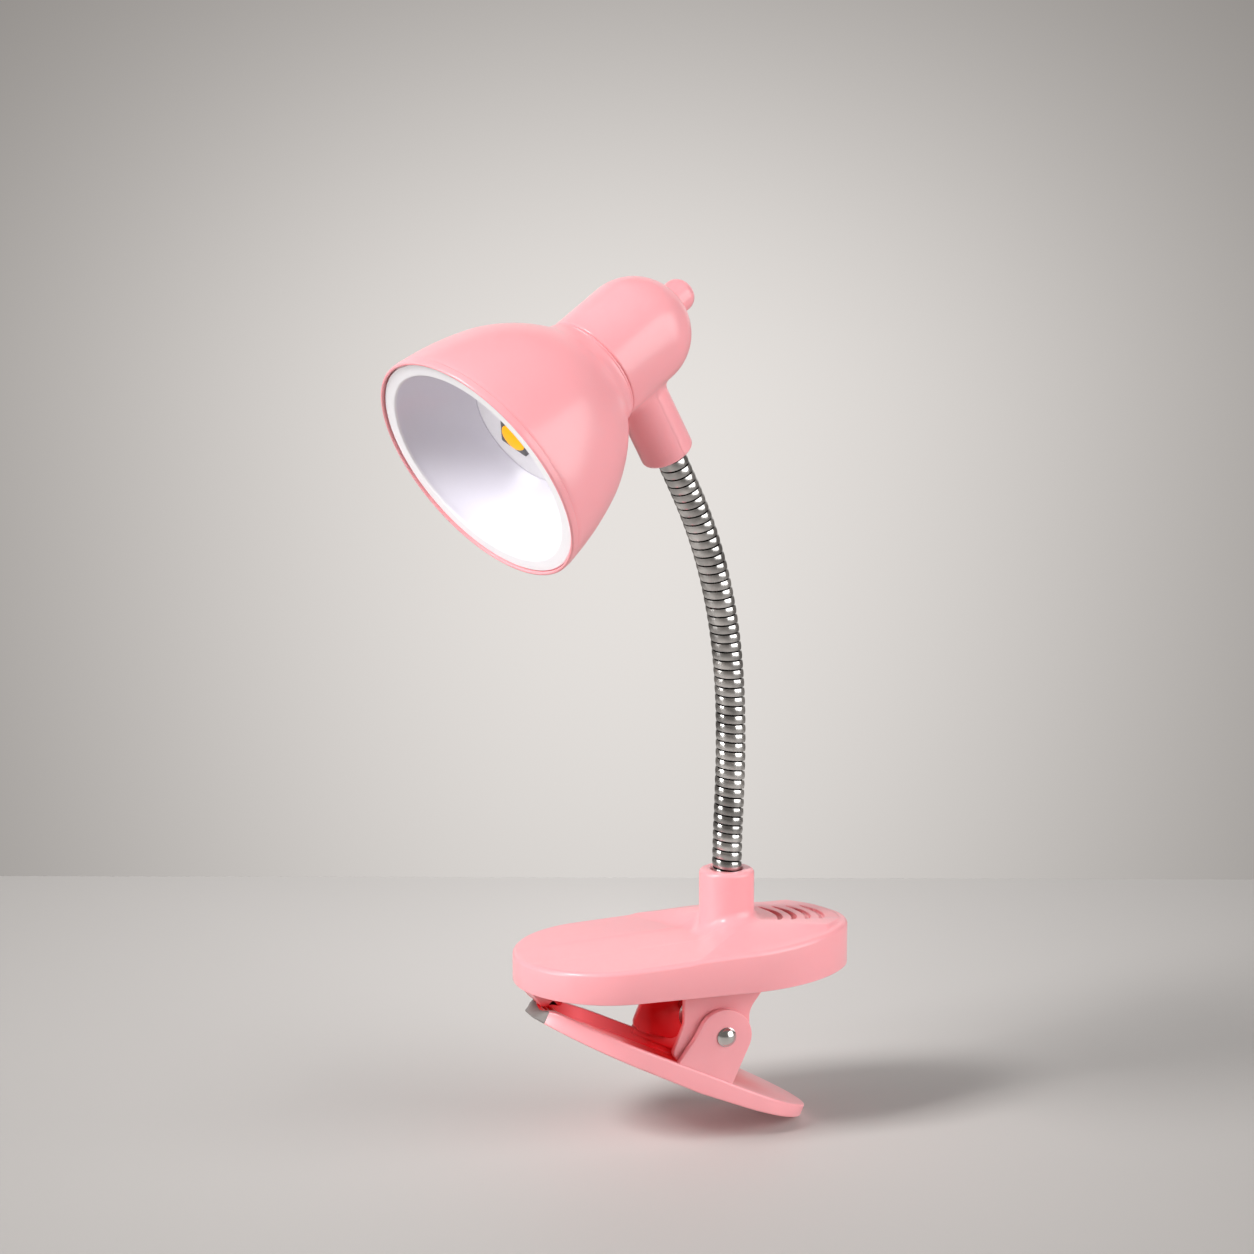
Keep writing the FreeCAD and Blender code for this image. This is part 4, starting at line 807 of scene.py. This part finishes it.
HOSE_HALF, WIND_PITCH, WIND_GROOVE, WIND_CROWN = 3.25, 2.04, 0.55, 0.1
HIDDEN_END = 3.0
bends = sorted((j for j in frame["joints"] if j["name"].startswith("neck_")), key=lambda j: j["pos_m"][2])
across = Vector(next(j["axis"] for j in bends if j["name"] == "neck_bend_1"))
joints = [Vector(j["pos_m"]) / MM for j in bends]
press = next(j for j in frame["joints"] if j["name"] == "switch_press")
back = -Vector(press["axis"]).normalized()
lift = across.cross(back).normalized()
STUB = 4.7
mouth = joints[-1] + lift * STUB
tower_mouth = joints[0] - Vector((0, 0, STUB))
start, end = tower_mouth - Vector((0, 0, HIDDEN_END)), mouth + lift * HIDDEN_END
middles = [start, *((a + b) / 2 for a, b in zip(joints, joints[1:])), end]
spans = [(a - j).length + (b - j).length for a, j, b in zip(middles, joints, middles[1:])]
marks = [sum(spans[:i]) for i in range(len(spans) + 1)]


def along_neck(number, share):
    """Place and direction on the neck's rest curve: a parabola from one length's middle to the next's."""
    a, j, b = middles[number], joints[number], middles[number + 1]
    place = a * (1 - share) ** 2 + j * 2 * share * (1 - share) + b * share ** 2
    return place, ((j - a) * (1 - share) + (b - j) * share).normalized()


nodes_of = ["neck_base"] + [f"neck_link_{i}" for i in range(1, 8)] + ["neck_top"]
band = [(HOSE_HALF - WIND_GROOVE, 0.0), (HOSE_HALF - WIND_GROOVE, 0.08), (HOSE_HALF - WIND_CROWN, 0.18)]
for step in range(1, 8):
    crown = WIND_CROWN * (1 - math.sin(math.pi * step / 8))
    band.append((HOSE_HALF - crown, 0.18 + (WIND_PITCH - 0.36) * step / 8))
band += [(r, WIND_PITCH - z) for r, z in reversed(band[:3])]
WIND_STEPS = 48
for number in range(len(joints)):
    first_wind = math.floor(marks[number] / WIND_PITCH) - 1
    winds = math.ceil(spans[number] / WIND_PITCH) + 3
    bm = bmesh.new()
    verts = [bm.verts.new((r, 0, z + WIND_PITCH * first_wind)) for r, z in band]
    edges = [bm.edges.new(pair) for pair in zip(verts, verts[1:])]
    bmesh.ops.spin(bm, geom=[*verts, *edges], cent=(0, 0, 0), axis=(0, 0, 1), angle=math.tau * winds,
                   dvec=(0, 0, WIND_PITCH / WIND_STEPS), steps=WIND_STEPS * winds)
    bmesh.ops.remove_doubles(bm, verts=bm.verts, dist=1e-3)
    for where, side in ((marks[number], -1), (marks[number + 1], 1)):
        bmesh.ops.bisect_plane(bm, geom=[*bm.verts, *bm.edges, *bm.faces], plane_co=(0, 0, where),
                               plane_no=(0, 0, side), clear_outer=True)
    # Vertices sunk below the crown carry the mark for the painted shade in the gaps.
    mark(bm, "gap", lambda x, y, z: min(max((HOSE_HALF - math.hypot(x, y) - WIND_CROWN) / 0.25, 0), 1))
    for vert in bm.verts:
        share = (vert.co.z - marks[number]) / spans[number]
        place, forward = along_neck(number, share)
        inward = forward.cross(across)
        vert.co = place + inward * vert.co.x + across * vert.co.y
    nodes_here = nodes_of[number:number + 2] if number == 0 else [nodes_of[number + 1]]
    name = f"neck_winding_{number + 1}"
    length = piece(name, bm, steel.material, None, nodes_here, crease=50)
    middles[number] * MM
    middles[number + 1] * MM
    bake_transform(length)

# ---- Shade ---------------------------------------------------------------------------------------
# A pink bell with a rolled rim, blown thin and drawn in to a collar that screws to the battery housing.

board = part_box("led_board")
BOARD_MIDDLE = 14.7
rim = (board[0] + board[1]) / 2 / MM - back * BOARD_MIDDLE
HEAD = Matrix((lift, back.cross(lift), back)).transposed().to_4x4()
HEAD.translation = rim
RIM_HALF, SHOULDER, FLARE, INNER_SHOULDER = 26.5, (22.6, 18.0), (15.0, 29.4), (21.1, 17.5)


def bulge(a, b, radius, steps):
    """Points of an arc from a to b that is bowed to the left of the way there."""
    a, b = Vector(a), Vector(b)
    run = b - a
    sink = math.sqrt(radius ** 2 - run.length_squared / 4)
    middle = (a + b) / 2 + Vector((-run.y, run.x)).normalized() * sink
    first, last = a - middle, b - middle
    turn = first.angle_signed(last)
    return [tuple(middle + Matrix.Rotation(-turn * i / steps, 2) @ first) for i in range(steps + 1)]


bell = [(RIM_HALF - 0.68, 1.8), (RIM_HALF - 0.68, 0.15)] + arc((RIM_HALF - 0.4, 0.4), 0.4, 250, 360, 6)
bell += [(RIM_HALF, 1.5), (RIM_HALF - 0.22, 1.75)]
bell += bulge((RIM_HALF - 0.12, 2.15), SHOULDER, 66, 18) + bulge(SHOULDER, FLARE, 36, 18)[1:]
bell += bulge((12.35, 33.3), FLARE, 9, 8)[-2::-1] + arc((12.15, 33.45), 0.2, 0, 90, 3)
bell += [(10.6, 33.65), (10.6, 28.2), (13.7, 28.2)]
bell += bulge((13.9, 28.4), INNER_SHOULDER, 34.5, 14)[1:]
bell += bulge(INNER_SHOULDER, (25.2, 1.9), 64.5, 14)[1:]
bm = bmesh.new()
turned(bm, bell, 160)
piece("shade_bell", bm, PINK, "head", ["shade_shell"], HEAD)

# ---- Battery housing and its neck socket ---------------------------------------------------------
# The pink barrel of the head with a domed tail, moulded in one with the socket that the neck is
# pressed into. The shade's collar screws on to its front.

HOUSING_HALF, HOUSING_FRONT, HOUSING_BORE, DOME_BACK = 11.9, 34.5, 9.0, 47.9
SPIGOT_HALF, SPIGOT_FRONT, END_WALL, FLANGE_HOLE = 10.4, 28.6, 57.4, 5.2
SOCKET_HALF, SOCKET_BACK, SOCKET_REACH = 5.7, 42.8, 27.2
SOCKET_FILLET, SOCKET_EDGE = 1.7, 0.8
NUB_HALF, NUB_GAP, NUB_END, NUB_ROUND = 3.6, 0.1, 64.6, 2.9

nub_hole = NUB_HALF + NUB_GAP
barrel = [(HOUSING_BORE, SPIGOT_FRONT), (SPIGOT_HALF, SPIGOT_FRONT), (SPIGOT_HALF, HOUSING_FRONT)]
barrel += arc((HOUSING_HALF - 0.5, HOUSING_FRONT + 0.5), 0.5, 270, 360, 5)
dome_sweep = math.degrees(math.acos((nub_hole + 0.15) / HOUSING_HALF))
hole_back = DOME_BACK + math.sqrt(HOUSING_HALF ** 2 - nub_hole ** 2) - 0.15
barrel += arc((0, DOME_BACK), HOUSING_HALF, 0, dome_sweep, 30) + [(nub_hole, hole_back), (nub_hole, END_WALL)]
barrel += [(FLANGE_HOLE, END_WALL), (HOUSING_BORE, END_WALL - HOUSING_BORE + FLANGE_HOLE - 0.5)]
bm = bmesh.new()
turned(bm, barrel, 144)


def socket_ring(half, reach, fillet_turn=None):
    """A ring round the socket's axis, reach away from the head's axis or lying on the barrel's fillet."""
    points = []
    for turn in turns:
        y, z = half * math.cos(turn), SOCKET_BACK + half * math.sin(turn)
        x = -reach
        if fillet_turn is not None:
            surface = math.sqrt(HOUSING_HALF ** 2 - y * y - max(z - DOME_BACK, 0) ** 2)
            x = reach - surface - SOCKET_FILLET * (1 - math.sin(fillet_turn))
        points.append((x, y, z))
    return points


sleeve_end = SOCKET_REACH - 8.0
rings = [socket_ring(NECK_HOLE, sleeve_end), socket_ring(NECK_HOLE, SOCKET_REACH - 0.3)]
rings.append(socket_ring(NECK_HOLE + 0.3, SOCKET_REACH))
edge_middle = (SOCKET_HALF - SOCKET_EDGE, SOCKET_REACH - SOCKET_EDGE)
rings += [socket_ring(half, reach) for half, reach in arc(edge_middle, SOCKET_EDGE, 90, 0, 6)]
for step in range(9):
    lean = math.pi / 2 * step / 8
    rings.append(socket_ring(SOCKET_HALF + SOCKET_FILLET * (1 - math.cos(lean)), 0, lean))
rings.append(socket_ring(SOCKET_HALF + SOCKET_FILLET, 0.8, math.pi / 2))
rings.append(socket_ring(SOCKET_HALF, 1.6, math.pi / 2))
skin(bm, rings, closed=True)
piece("head_housing_moulding", bm, PINK, "head", ["head_housing"], HEAD, crease=40)

# ---- Seal ring -----------------------------------------------------------------------------------
# A thin moulded ring pinched between the shade's collar and the housing.

seal_edge = arc((11.65, 34.05), 0.38, -70, 70, 6)
bm = bmesh.new()
turned(bm, [(10.45, 33.62), (11.7, 33.62), *seal_edge, (11.7, 34.48), (10.45, 34.48)], 128)
piece("collar_ring", bm, PINK, "head", ["seal_ring"], HEAD)

# ---- Reflector -----------------------------------------------------------------------------------
# A white cone with a flat front ring that snaps into the rim. Its high gloss is moulded, not coated.

RING_FRONT, RING_BACK, RING_HALF, RING_INNER, RING_EDGE = 0.5, 1.7, 25.7, 22.8, 0.4
FLOOR_BACK, SKIRT_BACK, FLOOR_HALF, CONE_WALL, BOARD_THICK = 14.1, 16.2, 12.9, 1.0, 1.2

gloss_white = Finish("reflector_white", {"Specular IOR Level": 0.5, "Coat Roughness": 0.05})
cloud = gloss_white.noise(90.0, 2.0)
# The cone is painted a darker lilac grey than the flat front ring: painted shade for the inside of the cone.
into_head = gloss_white.along(back) - back.dot(rim) * MM
on_ring = ((0.0011 - into_head) * 3000.0).clamp()
shaded_cone_tone = gloss_white.blend(cloud, (0.77, 0.74, 0.83), (0.81, 0.78, 0.86))
gloss_white.paint({
    "Base Color": gloss_white.blend(on_ring, shaded_cone_tone, (0.96, 0.94, 0.97)),
    "Roughness": cloud * 0.06 + 0.3, "Coat Weight": cloud * 0.1 + 0.1})
gloss_white.bump(gloss_white.noise(800.0), 0.00001, 0.4)
cone = arc((RING_INNER + RING_EDGE, RING_FRONT + RING_EDGE), RING_EDGE, 180, 270, 6)
cone += [(RING_HALF - 0.25, RING_FRONT), (RING_HALF, RING_FRONT + 0.25)]
cone += [(RING_HALF, RING_BACK), (RING_INNER + 0.4, RING_BACK)]
skirt = FLOOR_HALF + 1.6
cone += [(skirt, FLOOR_BACK - 0.4), (skirt, SKIRT_BACK), (skirt - CONE_WALL, SKIRT_BACK)]
cone += [(skirt - CONE_WALL, FLOOR_BACK), (FLOOR_HALF, FLOOR_BACK), (FLOOR_HALF + 0.05, FLOOR_BACK - 0.3)]
CONE_BOW, CONE_STEPS = 0.5, 12
widening, rising = RING_INNER - FLOOR_HALF, RING_FRONT + RING_EDGE - FLOOR_BACK
for step in range(1, CONE_STEPS):
    share = step / CONE_STEPS
    bow = CONE_BOW * math.sin(math.pi * share)
    cone.append((FLOOR_HALF + widening * share + bow, FLOOR_BACK + rising * share + bow * 0.5))
bm = bmesh.new()
turned(bm, cone, 160)
piece("reflector_cone", bm, gloss_white.material, "head", ["reflector"], HEAD)

# ---- Lamp: board, package and phosphor -----------------------------------------------------------
# A white solder-masked board carries one square power package with a round window of yellow phosphor.

PEDESTAL_HALF, PEDESTAL_HIGH = 5.3, 1.7
PACKAGE_WIDE, PACKAGE_THICK, PACKAGE_TURN, GLOW_HALF = 6.9, 1.2, 30, 3.1

mask_white = Finish("board_white", {"Specular IOR Level": 0.4})
weave = mask_white.noise(500.0, 2.0)
mask_tone = mask_white.blend(weave, (0.88, 0.86, 0.90), (0.93, 0.91, 0.95))
mask_white.paint({"Base Color": mask_tone, "Roughness": weave * 0.1 + 0.4})
top = FLOOR_BACK - PEDESTAL_HIGH
bm = bmesh.new()
turned(bm, [
    (0, FLOOR_BACK + BOARD_THICK), (FLOOR_HALF + 0.5, FLOOR_BACK + BOARD_THICK),
    (FLOOR_HALF + 0.55, FLOOR_BACK + 0.1), (FLOOR_HALF + 0.45, FLOOR_BACK + 0.01),
    (PEDESTAL_HALF, FLOOR_BACK + 0.01), (PEDESTAL_HALF, top + 0.25), (PEDESTAL_HALF - 0.25, top), (0, top),
], 96)
piece("lamp_board", bm, mask_white.material, "head", ["led_board"], HEAD)

case_grey = Finish("package_grey", {"Specular IOR Level": 0.4})
speck = case_grey.noise(1500.0, 2.0)
case_tone = case_grey.blend(speck, (0.085, 0.082, 0.085), (0.14, 0.135, 0.138))
case_grey.paint({"Base Color": case_tone, "Roughness": speck * 0.15 + 0.3})
half = PACKAGE_WIDE / 2
front = top - PACKAGE_THICK
square = soft([(-half, -half, 0.5), (half, -half, 0.5), (half, half, 0.5), (-half, half, 0.5)], 4)
bm = bmesh.new()
turned_round = Matrix.Rotation(math.radians(PACKAGE_TURN), 4, "Z")
slab(bm, square, PACKAGE_THICK, Matrix.Translation((0, 0, front)) @ turned_round, 0.2)
piece("lamp_package", bm, case_grey.material, "head", ["led_package"], HEAD)

# The phosphor's faint emission is painted light: the lamp is not lit, and it keeps the yellow bright inside
# the shaded reflector.
phosphor = Finish("phosphor_gel", {"Emission Strength": 0.4, "Specular IOR Level": 0.15, "Roughness": 0.4})
gel = phosphor.noise(900.0, 3.0)
glow_tone = phosphor.blend(gel, (0.97, 0.45, 0.002), (0.98, 0.50, 0.006))
phosphor.paint({"Base Color": glow_tone, "Emission Color": glow_tone})
bm = bmesh.new()
turned(bm, [
    (0, front - 0.45), (1.1, front - 0.43), (2.0, front - 0.37), (2.65, front - 0.28), (2.98, front - 0.16),
    (GLOW_HALF, front + 0.02), (0, front + 0.02),
], 64)
piece("lamp_phosphor", bm, phosphor.material, "head", ["led_emitter"], HEAD)

# ---- Switch nub ----------------------------------------------------------------------------------
# A round pink button in the tail's hole, moulded with a flange that keeps it in. It is pushed to switch.

STEM_HALF, STEM_FRONT, FLANGE_HALF, FLANGE_FRONT, FLANGE_BACK = 1.7, 53.2, 4.6, 56.2, 57.2
bm = bmesh.new()
nub = [(0, STEM_FRONT), (STEM_HALF, STEM_FRONT), (STEM_HALF, FLANGE_FRONT), (FLANGE_HALF, FLANGE_FRONT)]
nub += [(FLANGE_HALF, FLANGE_BACK), (NUB_HALF, FLANGE_BACK)]
nub += arc((NUB_HALF - NUB_ROUND, NUB_END - NUB_ROUND), NUB_ROUND, 0, 90, 14) + [(0, NUB_END)]
turned(bm, nub, 80)
piece("switch_nub", bm, PINK, "switch", ["switch_button"], HEAD)

# ---- Metal and moulded pieces inside the lamp ----------------------------------------------------
# Ferrules, retainer, screws, cells, contacts and switch keep the shapes they were built with.


def plain(name, kind, dark, light, roughness):
    """A finish for inner pieces: two close tones mixed by fine grain."""
    made = Finish(name, kind)
    fleck = made.noise(300.0, 3.0)
    made.paint({"Base Color": made.blend(fleck, dark, light), "Roughness": fleck * 0.12 + roughness})
    return made.material


METAL, MOULDED = {"Metallic": 1.0}, {"Specular IOR Level": 0.4}
FERRULES, CONTACTS = ["lower_ferrule", "upper_ferrule"], ["front_contact", "rear_contact"]
CELLS = [f"button_cell_{number}" for number in (1, 2, 3)]
inner_finishes = [
    ("crimped_steel", METAL, (0.50, 0.49, 0.48), (0.60, 0.59, 0.58), 0.25, FERRULES),
    ("zinc_plate", METAL, (0.52, 0.53, 0.53), (0.62, 0.62, 0.60), 0.3, ["neck_retainer", "retainer_screws"]),
    ("spring_wire_small", METAL, (0.50, 0.49, 0.47), (0.62, 0.61, 0.59), 0.2, ["contact_spring"]),
    ("tinned_copper", METAL, (0.72, 0.38, 0.22), (0.80, 0.50, 0.34), 0.25, ["led_leads"]),
    ("stamped_brass", METAL, (0.70, 0.54, 0.24), (0.78, 0.62, 0.30), 0.25, CONTACTS),
    ("cell_can", METAL, (0.58, 0.58, 0.57), (0.68, 0.68, 0.67), 0.18, CELLS),
    ("black_moulding", MOULDED, (0.02, 0.02, 0.02), (0.04, 0.04, 0.04), 0.45, ["cell_tube", "switch_body"]),
]
for name, kind, dark, light, roughness, names in inner_finishes:
    material = plain(name, kind, dark, light, roughness)
    for node in names:
        for material_slot in frame["nodes"][node].material_slots:
            material_slot.material = material
